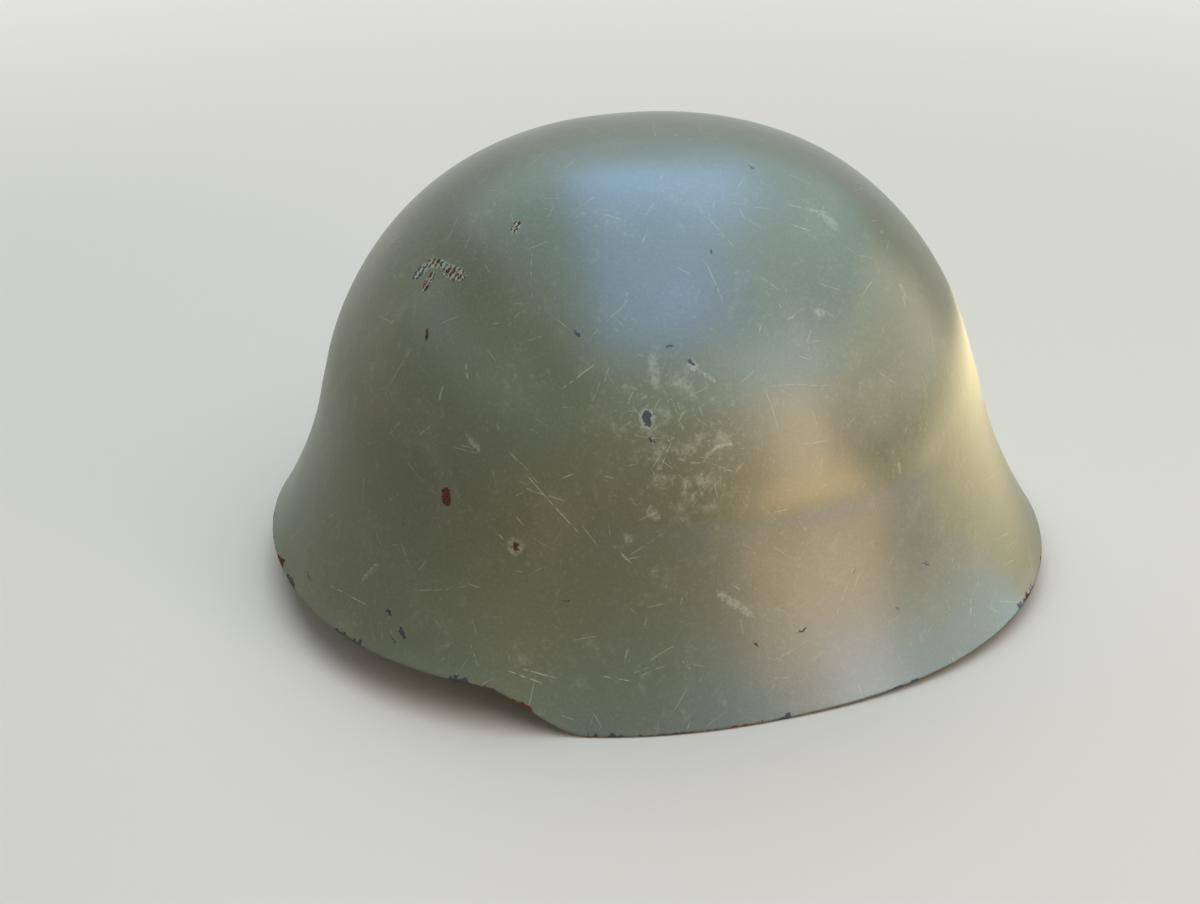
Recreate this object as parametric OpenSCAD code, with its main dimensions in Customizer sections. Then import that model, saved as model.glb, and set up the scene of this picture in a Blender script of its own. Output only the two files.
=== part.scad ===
// Two-piece combat helmet: a pressed steel shell over a moulded liner that carries the
// webbing suspension, the sweatband, the nape strap and the leather chinstrap.
// Millimetres. The front faces -Y, the wearer's left is +X, and the rim stands on Z = 0.
// Places round the helmet are angles from the front, growing towards the wearer's left.

/* [Steel shell] */
// Height of the crown over the table
shell_h = 160; // [156:1:166]
// Half width of the dome at its base
dome_half_w = 105.5; // [103:0.5:108]
// Reach of the dome's base to the front
dome_front = 116.5; // [114:0.5:120]
// Reach of the dome's base to the back
dome_back = 117; // [114:0.5:120]
// Height at which the dome meets the side wall
base_z = 67; // [65:1:69]
// Roundness of the crown seen from the side
crown_power = 1.6; // [1.5:0.05:1.9]
// Fullness of the dome's shoulders
shoulder_power = 2.65; // [2.4:0.05:2.8]
// Squareness of the oval seen from above
plan_power = 2.11; // [2:0.01:2.2]
// Thickness of the steel
shell_wall = 1.1; // [0.9:0.1:1.3]

/* [Flared rim] */
// Width of the flare over the forehead
flare_front = 20.5; // [18:0.5:23]
// Width of the flare over the ears
flare_side = 14.5; // [13.5:0.5:17]
// Width of the flare over the nape
flare_back = 28; // [25:0.5:30]
// Power of the curve that carries the wall out into the flare
flare_power = 1.67; // [1.5:0.01:1.8]
// Height of the visor's edge over the table
visor_rise = 15.5; // [13:0.5:18]
// Height of the nape's edge over the table
nape_rise = 11; // [9:0.5:13]
// Angle from the front at which the edge steps down from the visor
step_at = 58; // [55:1:61]
// Angle over which the edge steps down
step_span = 16; // [13:1:19]

/* [Liner] */
// Gap between the steel and the liner
nest_gap = 2; // [1.9:0.1:2.4]
// Thickness of the moulded liner
liner_wall = 2.2; // [2:0.1:2.5]
// Height of the liner's edge over the steel rim
liner_lift = 9; // [8:0.5:10]
// Height of the rivets that hold the suspension
rivet_z = 57; // [55:0.5:58]

/* [Suspension] */
// Width of the suspension webbing
web_w = 19; // [17:0.5:20]
// Thickness of the webbing
web_t = 1.2; // [1:0.1:1.3]
// Radius of the lace ring under the crown
lace_ring_r = 34; // [32:1:36]
// Drop of the lace ring below the crown
lace_drop = 36; // [34:1:40]
// Length of the head inside the sweatband
head_length = 195; // [190:1:198]
// Breadth of the head inside the sweatband
head_breadth = 155; // [150:1:158]
// Height of the sweatband
sweat_h = 36; // [32:1:38]

/* [Chinstrap] */
// Height of the side studs that carry the chinstrap
stud_z = 24; // [22:0.5:25]
// Width of the leather strap
strap_w = 13; // [12:0.5:14]
// Thickness of the leather strap
strap_t = 1.8; // [1.6:0.1:2]
// Angle at which the stowed loop droops from the studs to the table
strap_droop = 9; // [8.6:0.1:9.2]
// Place of the buckle round the back of the stowed loop
buckle_at = 215; // [210:1:220]

/* [Chinstrap loops of the shell] */
// Place of each loop round the side of the shell
loop_at = 101; // [99:1:104]
// Height of the loop's hinge over the table
loop_z = 22; // [21:0.5:24]
// Inner width of the wire loop
loop_w = 24; // [22:1:26]
// Drop of the wire loop below its hinge
loop_drop = 16; // [14:0.5:17]
// Radius of the loop's wire
loop_wire_r = 1.4; // [1.2:0.1:1.5]

/* [Hidden] */
eps = 0.01;
// Radial clearance of the pins that turn in their holes
run = 0.06;
// Seat left between pieces that lie against each other
seat = 0.15;
flare_start_front = 77.5;
flare_start_side = 66.5;
flare_start_back = 88;
flare_quarter_front = 1.75;
flare_quarter_back = 4;
draft = 0.8;
draft_shift = -0.95;
dome_rings = 12;
wall_rings = 7;
liner_flare = 0.1;
// Columns of the lofts lie closer together where the edge steps down
half_turns = concat([for (i = [0:7]) i*6], [for (i = [0:10]) 48 + i*3], [for (i = [0:16]) 84 + i*6]);
columns = concat(half_turns, [for (i = [len(half_turns) - 2:-1:1]) 360 - half_turns[i]]);

// Steps, weights and vectors
function ease(a, b, x) = let (u = min(1, max(0, (x - a)/(b - a)))) u*u*(3 - 2*u);
function unit(v) = v/norm(v);
function flat_dir(a) = [sin(a), -cos(a), 0];
function front_share(t) = pow(max(0, cos(t)), 2);
function back_share(t) = pow(max(0, -cos(t)), 2);
function around(t, front, side, back) =
    front*front_share(t) + back*back_share(t) + side*(1 - front_share(t) - back_share(t));

// The helmet's skin: t runs round it, s from the crown at 0 over the base at 1 to the rim at 2
function rim_z(t) = visor_rise*(1 - ease(step_at - step_span/2, step_at + step_span/2, acos(cos(t))))
    + nape_rise*back_share(t);
function power_of(x, p) = sign(x)*pow(abs(x), p);
function plan(t) = [
    power_of(sin(t), 2/plan_power)*dome_half_w,
    -power_of(cos(t), 2/plan_power)*(cos(t) > 0 ? dome_front : dome_back)];
function flare_width(t) = around(t, flare_front, flare_side, flare_back)
    + pow(sin(2*t), 2)*(cos(t) > 0 ? flare_quarter_front : flare_quarter_back);
function flare(t, z) =
    let (start = around(t, flare_start_front, flare_start_side, flare_start_back))
    flare_width(t)*pow(max(0, start - z)/(start - rim_z(t)), flare_power);
function drafted(t, z) =
    let (below = max(0, base_z + 25 - z))
    tan(draft + draft_shift*(front_share(t) - back_share(t)))*(below < 50 ? below*below/100 : below - 25);
function skin_z(t, s, lift) = s <= 1
    ? base_z + (shell_h - base_z)*pow(cos(90*s), 2/crown_power)
    : base_z + (rim_z(t) + lift - base_z)*(s - 1);
function skin(t, s, flared, lift) =
    let (
        oval = plan(t),
        z = skin_z(t, s, lift),
        dome = norm(oval)*(s < 1 ? pow(sin(90*s), 2/shoulder_power) : 1),
        r = dome + drafted(t, z) + flared*flare(t, z))
    [oval.x/norm(oval)*r, oval.y/norm(oval)*r, z];
function skin_normal(t, s, flared, lift) = s < eps ? [0, 0, 1] : unit(cross(
    skin(t, s + eps, flared, lift) - skin(t, s - eps, flared, lift),
    skin(t + 0.5, s, flared, lift) - skin(t - 0.5, s, flared, lift)));
// A point at a depth inside the skin, moved level at the rim so that the edge is cut flat
function inset(t, s, flared, lift, depth) =
    let (p = skin(t, s, flared, lift), n = skin_normal(t, s, flared, lift), level = unit([n.x, n.y, 0]))
    s < 2 - eps ? p - n*depth : p - level*depth/max(0.3, n*level);
function skin_s(t, z, lift) = 1 + (base_z - z)/(base_z - rim_z(t) - lift);

lace_z = shell_h - lace_drop;

// Depths of the nested walls below the outside of the steel
liner_out = shell_wall + nest_gap;
liner_in = liner_out + liner_wall;
middle_y = (skin(0, 2, 1, 0).y + skin(180, 2, 1, 0).y)/2;

// The angle t whose column lies in the true direction a
function column_of(a) =
    let (
        oval_ratio = (cos(a) > 0 ? dome_front : dome_back)/dome_half_w,
        q = atan2(pow(abs(sin(a))*oval_ratio, plan_power/2), pow(abs(cos(a)), plan_power/2)))
    sin(a) >= 0 ? (cos(a) >= 0 ? q : 180 - q) : (cos(a) >= 0 ? 360 - q : 180 + q);
function liner_point(a, z, depth) =
    let (t = column_of(a)) inset(t, skin_s(t, z, liner_lift), liner_flare, liner_lift, depth);
function liner_normal(a, z) =
    let (t = column_of(a)) skin_normal(t, skin_s(t, z, liner_lift), liner_flare, liner_lift);
function liner_r(a, z, depth) = let (p = liner_point(a, z, depth)) norm([p.x, p.y]);
function oval_r(a, half_w, half_l) = 1/sqrt(pow(sin(a)/half_w, 2) + pow(cos(a)/half_l, 2));

// Outline of round corners of one radius, with centres listed counter-clockwise
function heading(a, b) = atan2(b.y - a.y, b.x - a.x);
function rounded(centres, r, steps = 5) = [
    for (i = [0:len(centres) - 1])
        let (
            n = len(centres),
            from = heading(centres[(i + n - 1) % n], centres[i]) - 90,
            turn = (heading(centres[i], centres[(i + 1) % n]) - 90 - from + 720) % 360)
        for (k = [0:steps]) centres[i] + r*[cos(from + turn*k/steps), sin(from + turn*k/steps)]];
function box_corners(w, h) = [[-w/2, -h/2], [w/2, -h/2], [w/2, h/2], [-w/2, h/2]];
function rounded_box(w, h, r) = rounded(box_corners(w - 2*r, h - 2*r), r);

// Places the children with their X axis along n
module stand_on(p, n) {
    translate(p) rotate([0, -asin(n.z), atan2(n.y, n.x)]) children();
}

// Places the children with Y along d and X outwards
module on_curve(p, d) {
    translate(p) rotate([0, 0, atan2(d.y, d.x) - 90]) children();
}

// Places the children in a plate in the YZ plane, from x to x + t
module plate(x, t) {
    translate([x, 0, 0]) rotate([90, 0, 90]) linear_extrude(t) children();
}

module pin_x(r, from, to) {
    translate([from, 0, 0]) rotate([0, 90, 0]) cylinder(h = to - from, r = r, $fn = 32);
}

// Low round rivet head with its flat side at x = 0, facing +X when up is 1 and -X when it is -1
module rivet_head(r, h, up) {
    ball = (r*r + h*h)/(2*h);
    rotate([0, 90*up, 0]) rotate_extrude($fn = 32)
        intersection() {
            translate([0, h - ball]) circle(ball, $fn = 64);
            square([r, h]);
        }
}

// Solid through rings of points of one count, ends capped unless it is closed
module swept(rings, closed = false) {
    n = len(rings);
    m = len(rings[0]);
    points = [for (ring = rings) for (p = ring) p];
    sides = [for (i = [0:closed ? n - 1 : n - 2]) for (j = [0:m - 1])
        let (a = i*m + j, b = i*m + (j + 1) % m, c = ((i + 1) % n)*m + (j + 1) % m, d = ((i + 1) % n)*m + j)
        each [[a, b, c], [a, c, d]]];
    caps = closed ? [] : [
        each [for (j = [1:m - 2]) [0, j + 1, j]],
        each [for (j = [1:m - 2]) let (k = (n - 1)*m) [k, k + j, k + j + 1]]];
    polyhedron(points, concat(sides, caps), convexity = 6);
}

function tangents(path, closed) = [for (i = [0:len(path) - 1]) let (n = len(path))
    unit(path[closed ? (i + 1) % n : min(n - 1, i + 1)] - path[closed ? (i + n - 1) % n : max(0, i - 1)])];

// Flat band along a path: across holds the unit vectors along its width
module ribbon(path, across, width, thick, closed = false) {
    along = tangents(path, closed);
    swept([for (i = [0:len(path) - 1])
        let (w = across[i]*width/2, n = unit(cross(across[i], along[i]))*thick/2)
        [path[i] - w - n, path[i] + w - n, path[i] + w + n, path[i] - w + n]], closed);
}

// Round cord along a path
module cord(path, r, sides = 8) {
    along = tangents(path, false);
    swept([for (i = [0:len(path) - 1])
        let (u = unit(cross(along[i], [0.3, 0.1, 1])), v = cross(u, along[i]))
        [for (k = [0:sides - 1]) path[i] + r*(u*cos(360*k/sides) + v*sin(360*k/sides))]]);
}

// Shell between two depths below the skin, closed at the crown and cut flat at the rim
module nested_wall(flared, lift, outer, inner, dome, wall) {
    steps = concat([for (k = [1:dome]) k/dome], [for (k = [1:wall]) 1 + k/wall]);
    n = len(columns);
    m = len(steps);
    outside = [for (t = columns) for (s = steps) inset(t, s, flared, lift, outer)];
    inside = [for (t = columns) for (s = steps) inset(t, s, flared, lift, inner)];
    top = inset(0, 0, flared, lift, outer);
    under = inset(0, 0, flared, lift, inner);
    o = 2;
    i = 2 + n*m;
    faces = [for (c = [0:n - 1]) let (d = (c + 1) % n) each concat(
        [[0, o + d*m, o + c*m], [1, i + c*m, i + d*m]],
        [for (k = [0:m - 2]) each [
            [o + c*m + k, o + d*m + k + 1, o + c*m + k + 1],
            [o + c*m + k, o + d*m + k, o + d*m + k + 1],
            [i + c*m + k, i + c*m + k + 1, i + d*m + k + 1],
            [i + c*m + k, i + d*m + k + 1, i + d*m + k]]],
        [[o + c*m + m - 1, i + d*m + m - 1, i + c*m + m - 1],
            [o + c*m + m - 1, o + d*m + m - 1, i + d*m + m - 1]])];
    polyhedron(concat([top, under], outside, inside), faces, convexity = 8);
}

// Steel shell
module steel_shell() {
    color("darkolivegreen") nested_wall(1, 0, 0, shell_wall, dome_rings, wall_rings);
}

// Swivelling wire loops of the shell, each on a hinge plate inside the flare
loop_seat = 1.2;
loop_plate_t = 1;
barrel_r = loop_wire_r + 1;
function loop_t(side) = side*loop_at;
function loop_skin(side) = let (t = loop_t(side)) inset(t, skin_s(t, loop_z, 0), 1, 0, shell_wall);
function loop_normal(side) = let (t = loop_t(side)) skin_normal(t, skin_s(t, loop_z, 0), 1, 0);
function loop_level(side) = let (n = loop_normal(side)) unit([n.x, n.y, 0]);
// Middle of the loop's hinge, level with the plate and clear of the liner
hinge_depth = loop_seat + loop_plate_t + barrel_r + 0.6;

module loop_frame(side) {
    n = loop_level(side);
    stand_on(loop_skin(side), n) children();
}

module hinge_plate(side) {
    n = loop_normal(side);
    lean = asin(n.z);
    color("olivedrab") loop_frame(side) difference() {
        union() {
            rotate([0, -lean, 0]) plate(-loop_seat - loop_plate_t, loop_plate_t)
                polygon(rounded_box(loop_w - 2, 13, 3));
            translate([-hinge_depth, 0, 0]) rotate([90, 0, 0])
                cylinder(h = loop_w - 8, r = barrel_r, center = true, $fn = 32);
            translate([-hinge_depth + barrel_r/2, 0, -barrel_r/2])
                cube([barrel_r + 1.6, loop_w - 8, 1.6], center = true);
        }
        translate([-hinge_depth, 0, 0]) rotate([90, 0, 0])
            cylinder(h = loop_w, r = loop_wire_r + run, center = true, $fn = 32);
    }
}

module wire_loop(side) {
    half = loop_w/2 + loop_wire_r;
    bend = 3.5;
    color("darkkhaki") loop_frame(side) translate([-hinge_depth, 0, 0]) rotate([90, 0, 90]) {
        rotate([0, 90, 0]) cylinder(h = 2*(half - bend), r = loop_wire_r, center = true, $fn = 24);
        for (m = [-1, 1]) {
            translate([m*half, -loop_drop + bend, 0]) rotate([-90, 0, 0])
                cylinder(h = loop_drop - 2*bend, r = loop_wire_r, $fn = 24);
            for (low = [0, 1])
                translate([m*(half - bend), low ? -loop_drop + bend : -bend, 0])
                    rotate([0, 0, m > 0 ? (low ? -90 : 0) : (low ? 180 : 90)])
                        rotate_extrude(angle = 90, $fn = 48) translate([bend, 0]) circle(loop_wire_r, $fn = 24);
        }
        translate([0, -loop_drop, 0]) rotate([0, 90, 0])
            cylinder(h = 2*(half - bend), r = loop_wire_r, center = true, $fn = 24);
    }
}

module loop_hinge_left() hinge_plate(1);
module loop_hinge_right() hinge_plate(-1);
module wire_loop_left() wire_loop(1);
module wire_loop_right() wire_loop(-1);

// Liner and what is riveted through it
washer_turns = [30, 90, 150, 210, 270, 330];
nape_turns = [140, 180, 220];
shank_r = 2;
eyelet_z = 62;

module liner_holes() {
    for (a = washer_turns) stand_on(liner_point(a, rivet_z, liner_in), liner_normal(a, rivet_z))
        pin_x(shank_r + run, -3, liner_wall + 3);
    for (a = nape_turns) stand_on(liner_point(a, nape_z, liner_in), liner_normal(a, nape_z))
        pin_x(shank_r + run, -3, liner_wall + 3);
    for (side = [-1, 1]) stand_on([side*stud_x, 0, stud_z], [side, 0, 0])
        pin_x(shank_r + run, -3, liner_wall + 3);
    stand_on(liner_point(0, eyelet_z, liner_in), liner_normal(0, eyelet_z))
        pin_x(eyelet_r + run, -3, liner_wall + 3);
}

module liner_shell() {
    color("darkgoldenrod") difference() {
        nested_wall(liner_flare, liner_lift, liner_out, liner_in, 10, 5);
        liner_holes();
    }
}

// Suspension: washers stand off the wall and lean inwards at the top
washer_off = 1.4;
washer_t = 1;
washer_lean = 8;
bar_z = 20.5;
module washer_place(a) {
    stand_on(liner_point(a, rivet_z, liner_in), liner_normal(a, rivet_z))
        translate([-washer_off, 0, 0]) children();
}

module a_washers() {
    color("dimgray") for (a = washer_turns) washer_place(a) rotate([0, -washer_lean, 0])
        plate(-washer_t, washer_t) difference() {
            polygon(rounded([[-12.5, bar_z - 1.5], [0, 0], [12.5, bar_z - 1.5]], 3.5));
            polygon(rounded([[-9.7, bar_z - 3.7], [9.7, bar_z - 3.7]], 1.8));
            circle(shank_r + 2*run, $fn = 32);
        }
}

module suspension_rivets() {
    color("silver") for (a = washer_turns)
        stand_on(liner_point(a, rivet_z, liner_in), liner_normal(a, rivet_z)) {
            pin_x(shank_r, -washer_off - washer_t - 0.5, liner_wall + seat + eps);
            translate([liner_wall + seat, 0, 0]) rivet_head(5, 1.4, 1);
            translate([-washer_off - washer_t - 0.45, 0, 0]) rivet_head(3.6, 1.5, -1);
        }
}

// Crown straps: an eye round the washer's bar, a sewn tail behind the headband and a rising band
bar_half = 2.2;
eye_r = 0.7;
bar_x = -(washer_t/2)*cos(washer_lean) - bar_z*sin(washer_lean);
tail_x = bar_x - eye_r - web_t/2;
lace_r = 1.3;
// The fold's straight eye clears the ring that bends through it
fold_sag = lace_ring_r - sqrt(pow(lace_ring_r, 2) - pow(web_w/2, 2));
fold_mid_r = lace_ring_r - fold_sag/2;
lace_eye_r = lace_r + fold_sag/2 + 0.3;

fold_r = lace_eye_r + web_t/2;

function strap_foot(a) =
    let (p = liner_point(a, rivet_z, liner_in), n = liner_normal(a, rivet_z),
        up = cross(cross(n, [0, 0, 1]), n))
    p + n*(bar_x - washer_off) + unit(up)*(bar_z + 2.6);
function strap_point(a, q) =
    let (foot = strap_foot(a), foot_r = norm([foot.x, foot.y]), foot_a = a + (atan2(foot.x, -foot.y) - a + 900) % 360 - 180,
        r = fold_mid_r + (foot_r - fold_mid_r)*pow(cos(q), 0.95))
    [0, 0, foot.z + (lace_z + fold_r - foot.z)*sin(q)] + r*flat_dir(foot_a + (a - foot_a)*ease(0, 90, q));
// The strap's end folds round the lace and lies back under the strap, where it is sewn
function strap_fold(a) = concat(
    [for (k = [1:7]) let (q = 90 + 30*k)
        (fold_mid_r + fold_r*cos(q))*flat_dir(a) + [0, 0, lace_z + fold_r*sin(q)]],
    [for (q = [68, 60, 50]) strap_point(a, q) - [0, 0, (web_t + seat)/sin(q)] - 0.5*flat_dir(a)]);
function strap_across(a, q) =
    let (n = liner_normal(a, rivet_z), level = unit([n.x, n.y, 0]), w = ease(0, 60, q),
        mixed = unit(level*(1 - w) + flat_dir(a)*w))
    [-mixed.y, mixed.x, 0];

module crown_strap(a) {
    turns = [for (i = [0:11]) i*90/11];
    color("olive") {
        washer_place(a) {
            rotate([0, -washer_lean, 0]) translate([-washer_t/2, 0, bar_z]) rotate([90, 0, 0])
                linear_extrude(web_w - 0.4, center = true) difference() {
                    polygon(rounded([[0, -bar_half + eye_r], [0, bar_half - eye_r + 0.1]], eye_r + web_t, 8));
                    polygon(rounded([[0, -bar_half + eye_r], [0, bar_half - eye_r + 0.1]], eye_r, 8));
                }
            translate([tail_x, 0, bar_z/2 + 0.5]) cube([web_t, web_w - 1, bar_z - 2], center = true);
        }
        ribbon(concat([for (q = turns) strap_point(a, q)], strap_fold(a)),
            concat([for (q = turns) strap_across(a, q)], [for (p = strap_fold(a)) strap_across(a, 90)]),
            web_w, web_t);
    }
}

module crown_strap_front_left() crown_strap(30);
module crown_strap_side_left() crown_strap(90);
module crown_strap_back_left() crown_strap(150);
module crown_strap_back_right() crown_strap(210);
module crown_strap_side_right() crown_strap(270);
module crown_strap_front_right() crown_strap(330);

// Lace: a ring through the six eyes, tied at the back with two short ends
module crown_lace() {
    knot = lace_ring_r*flat_dir(180) + [0, 0, lace_z];
    color("beige") {
        translate([0, 0, lace_z]) rotate_extrude($fn = 96) translate([lace_ring_r, 0]) circle(lace_r, $fn = 24);
        translate(knot) for (m = [-1, 1]) {
            translate([m*1.2, 0, 0]) rotate([0, 90, 0])
                rotate_extrude($fn = 48) translate([1.7, 0]) circle(lace_r, $fn = 24);
            cord([for (i = [0:6]) [m*(1.5 + 2.2*i), -1.5 - 0.5*i, -2 - 1.6*i - 0.12*i*i]], lace_r);
        }
    }
}

// Sweatband, clipped to the inside of the headband
sweat_t = 1.6;
sweat_z = 60;
head_z = 65.5;
sweat_gap = 6;
sweat_split = 208;
function sweat_r(a) = oval_r(a, head_breadth/2 + sweat_t, head_length/2 + sweat_t);
sweat_turns = [for (i = [0:66]) sweat_split + sweat_gap/2 + i*(360 - sweat_gap)/66];

module sweatband() {
    lean = 2.2;
    color("saddlebrown") swept([for (a = sweat_turns)
        let (d = flat_dir(a), r = sweat_r(a))
        [for (p = [[0, -sweat_h/2], [0.9, -sweat_h/2 + 1.8], [0.2, -sweat_h/2 + 4], [0, 3], [-lean, sweat_h/2],
                [-lean - sweat_t, sweat_h/2], [-sweat_t, 3], [-sweat_t, -sweat_h/2]])
            d*(r + p[0]) + [0, 0, sweat_z + p[1]]]]);
}

// Adjusting tab and buckle that close the sweatband at the back
tab_z = 53;
tab_off = 1.5;
tab_leather = 1.4;
buckle_past = 8;
buckle_turn = sweat_split + buckle_past;
module sweatband_tab() {
    turns = [for (i = [0:12]) sweat_split - 14 + i*30/12];
    color("sienna") ribbon(
        [for (a = turns) sweat_point(a) + sweat_normal(a)*(2*seat + tab_leather/2
            + tab_off*ease(sweat_split - 9, sweat_split - 2, a)) + [0, 0, tab_z]],
        [for (a = turns) [0, 0, 1]], 12, tab_leather);
}

module sweatband_buckle() {
    a = buckle_turn;
    off = 2*seat + tab_off + tab_leather/2;
    color("silver") on_curve(sweat_point(a), sweat_point(a + 1) - sweat_point(a - 1))
        translate([off, 0, tab_z]) rotate([90, 0, 0]) linear_extrude(6, center = true) difference() {
            polygon(rounded_box(tab_leather + 2.4, 15.4, 1));
            polygon(rounded_box(tab_leather + 0.7, 13, 0.6));
        }
}

// Headband: webbing that swings out to the straps and in to the sweatband's clips
clip_turns = [0, 60, 120, 180, 240, 300];
clip_t = 0.6;
headband_in = 2*seat + clip_t + 0.1 + web_t/2;
headband_out = washer_off - tail_x + web_t + seat;
function headband_r(a) =
    let (w = pow((1 + cos(6*(a - 30)))/2, 1.5),
        leather = sweat_r(a) - 2.2*max(0, head_z - sweat_z - 3)/(sweat_h/2 - 3))
    (leather + headband_in + 0.35)*(1 - w) + (liner_r(a, rivet_z, liner_in) - headband_out - 0.8)*w;
function headband_point(a) = flat_dir(a)*headband_r(a);
function sweat_point(a) = flat_dir(a)*sweat_r(a);
function sweat_normal(a) = let (d = unit(sweat_point(a + 1) - sweat_point(a - 1))) [d.y, -d.x, 0];

module headband() {
    turns = [for (i = [0:71]) i*5];
    color("olivedrab") ribbon([for (a = turns) headband_point(a) + [0, 0, head_z]],
        [for (a = turns) [0, 0, 1]], web_w, web_t, true);
}

module sweatband_clips() {
    top = head_z + web_w/2 + 0.3;
    color("gray") for (a = clip_turns)
        on_curve(headband_point(a), headband_point(a + 1) - headband_point(a - 1)) rotate([90, 0, 0])
            linear_extrude(9, center = true) {
                x = web_t/2 + seat + 0.2;
                translate([x, top - 12]) square([clip_t, 12 + clip_t]);
                translate([-x - clip_t, top - 14]) square([clip_t, 14 + clip_t]);
                translate([-x - clip_t, top]) square([2*(x + clip_t), clip_t]);
            }
}

// Nape strap, held to the liner's back by three studs
nape_z = 40;
nape_w = 14;
function nape_depth(a) =
    let (u = abs(a - 180)/40, w = u < 1 ? pow(sin(180*u), 2) : 0) seat + web_t/2 + 0.6 + 6*w;

module nape_strap() {
    turns = [for (i = [0:30]) 135 + i*3];
    color("olive") difference() {
        ribbon([for (a = turns) let (p = liner_point(a, nape_z, liner_in + nape_depth(a))) [p.x, p.y, nape_z]],
            [for (a = turns) [0, 0, 1]], nape_w, web_t);
        for (a = nape_turns) stand_on(liner_point(a, nape_z, liner_in), liner_normal(a, nape_z))
            pin_x(shank_r + run, -4, 1);
    }
}

module nape_studs() {
    inner = -seat - web_t - 1.2;
    color("silver") for (a = nape_turns)
        stand_on(liner_point(a, nape_z, liner_in), liner_normal(a, nape_z)) {
            pin_x(shank_r, inner - 0.1, liner_wall + seat + eps);
            translate([liner_wall + seat, 0, 0]) rivet_head(4.5, 1.2, 1);
            translate([inner, 0, 0]) rivet_head(4.8, 1.4, -1);
        }
}

// Eyelet in the liner's front
eyelet_r = 3.2;
eyelet_seat = 0.3;
module front_eyelet() {
    color("goldenrod") stand_on(liner_point(0, eyelet_z, liner_in), liner_normal(0, eyelet_z))
        difference() {
            union() {
                pin_x(eyelet_r, -eyelet_seat - 0.5, liner_wall + eyelet_seat + 0.5);
                pin_x(5, -eyelet_seat - 0.5, -eyelet_seat);
                pin_x(5, liner_wall + eyelet_seat, liner_wall + eyelet_seat + 0.5);
            }
            pin_x(2.5, -3, liner_wall + 3);
        }
}

// Chinstrap studs: the post carries the swivelling end clip
stud_seat = 0.6;
collar_t = 3.2;
clip_plate_t = 1.2;
post_r = 2.2;
stud_x = liner_r(90, stud_z, liner_in);
clip_x = stud_x - collar_t - 0.15 - clip_plate_t;
module chinstrap_stud(side) {
    head_x = -collar_t - clip_plate_t - 0.3;
    color("silver") stand_on([side*stud_x, 0, stud_z], [side, 0, 0]) {
        pin_x(shank_r, -1, liner_wall + stud_seat + eps);
        translate([liner_wall + stud_seat, 0, 0]) rivet_head(4.2, 1.2, 1);
        pin_x(4, -collar_t, -stud_seat);
        pin_x(post_r, head_x - 0.5, -1);
        translate([head_x, 0, 0]) rivet_head(3.6, 1.5, -1);
    }
}

module chinstrap_stud_left() chinstrap_stud(1);
module chinstrap_stud_right() chinstrap_stud(-1);

// Stowed chinstrap: one plane through both studs, drooping to the table at the back
clip_reach = 11;
strap_start = clip_reach + 2.2;
chord_half = 11;
function strap_plan(a, out) =
    let (depth = 3 + 4*ease(8, 45, a < 180 ? a - 90 : 270 - a), r = liner_r(a, stud_z - 2, liner_in) - depth)
    flat_dir(a)*(r + out);
// The loop is straight where the buckle clamps it
function loop_plan(a, out) = abs(a - buckle_at) > chord_half ? strap_plan(a, out)
    : let (w = (a - buckle_at + chord_half)/(2*chord_half))
    strap_plan(buckle_at - chord_half, out)*(1 - w) + strap_plan(buckle_at + chord_half, out)*w;

module in_loop() {
    translate([0, 0, stud_z]) rotate([-strap_droop, 0, 0]) children();
}

// Places the children on the loop with X outwards, Y along the loop and Z along the strap's width
module on_loop(a, out) {
    in_loop() on_curve(loop_plan(a, out), loop_plan(a + 0.5, out) - loop_plan(a - 0.5, out)) children();
}

// Angles round the loop at which its pieces begin and end
strap_turn = 90 + atan2(strap_start + 2.1, clip_x);
tail_end = buckle_at + 24;
short_start = buckle_at - 4;
keeper_turn = tail_end - 7;
plate_out = strap_t/2 + 0.2;
short_over = plate_out + 1 + seat + strap_t/2;
function short_out(a) = short_over*(1 - ease(tail_end + 4, tail_end + 20, a));

module strap_band(turns, outs) {
    in_loop() ribbon([for (i = [0:len(turns) - 1]) loop_plan(turns[i], outs[i])],
        [for (a = turns) [0, 0, 1]], strap_w, strap_t);
}

// Fold of the strap round the bar of its end clip
module strap_eye(side) {
    inner = 0.75;
    in_loop() translate([side*(clip_x + clip_plate_t/2), strap_start, 0])
        linear_extrude(strap_w, center = true) difference() {
            polygon(rounded([[0, -0.5], [0, 0.5]], inner + strap_t, 8));
            polygon(rounded([[0, -0.5], [0, 0.5]], inner, 8));
        }
}

module chinstrap_long() {
    turns = [for (i = [0:40]) strap_turn + (tail_end - strap_turn)*i/40];
    color("peru") {
        strap_eye(1);
        strap_band(turns, [for (a = turns) 0]);
    }
}

module chinstrap_short() {
    last = 360 - strap_turn;
    turns = [for (i = [0:16]) short_start + (last - short_start)*i/16];
    color("peru") {
        strap_eye(-1);
        difference() {
            strap_band(turns, [for (a = turns) short_out(a)]);
            buckle_tacks(tack_r + run);
        }
    }
}

module chinstrap_clip(side) {
    wide = strap_w/2 + 1.2;
    color("silver") in_loop() difference() {
        plate(side > 0 ? clip_x : -clip_x - clip_plate_t, clip_plate_t) difference() {
            polygon(rounded([[0, -0.8], [strap_start - 1.5, -wide], [strap_start - 1.5, wide], [0, 0.8]], 2.5));
            polygon(rounded([[strap_start - 3, 1 - wide], [strap_start - 2, 1 - wide],
                [strap_start - 2, wide - 1], [strap_start - 3, wide - 1]], 1));
        }
        translate([side*clip_x, 0, 0]) rotate([0, 90, 0])
            cylinder(h = 8, r = post_r + run, center = true, $fn = 32);
    }
}

module chinstrap_clip_left() chinstrap_clip(1);
module chinstrap_clip_right() chinstrap_clip(-1);

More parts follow.
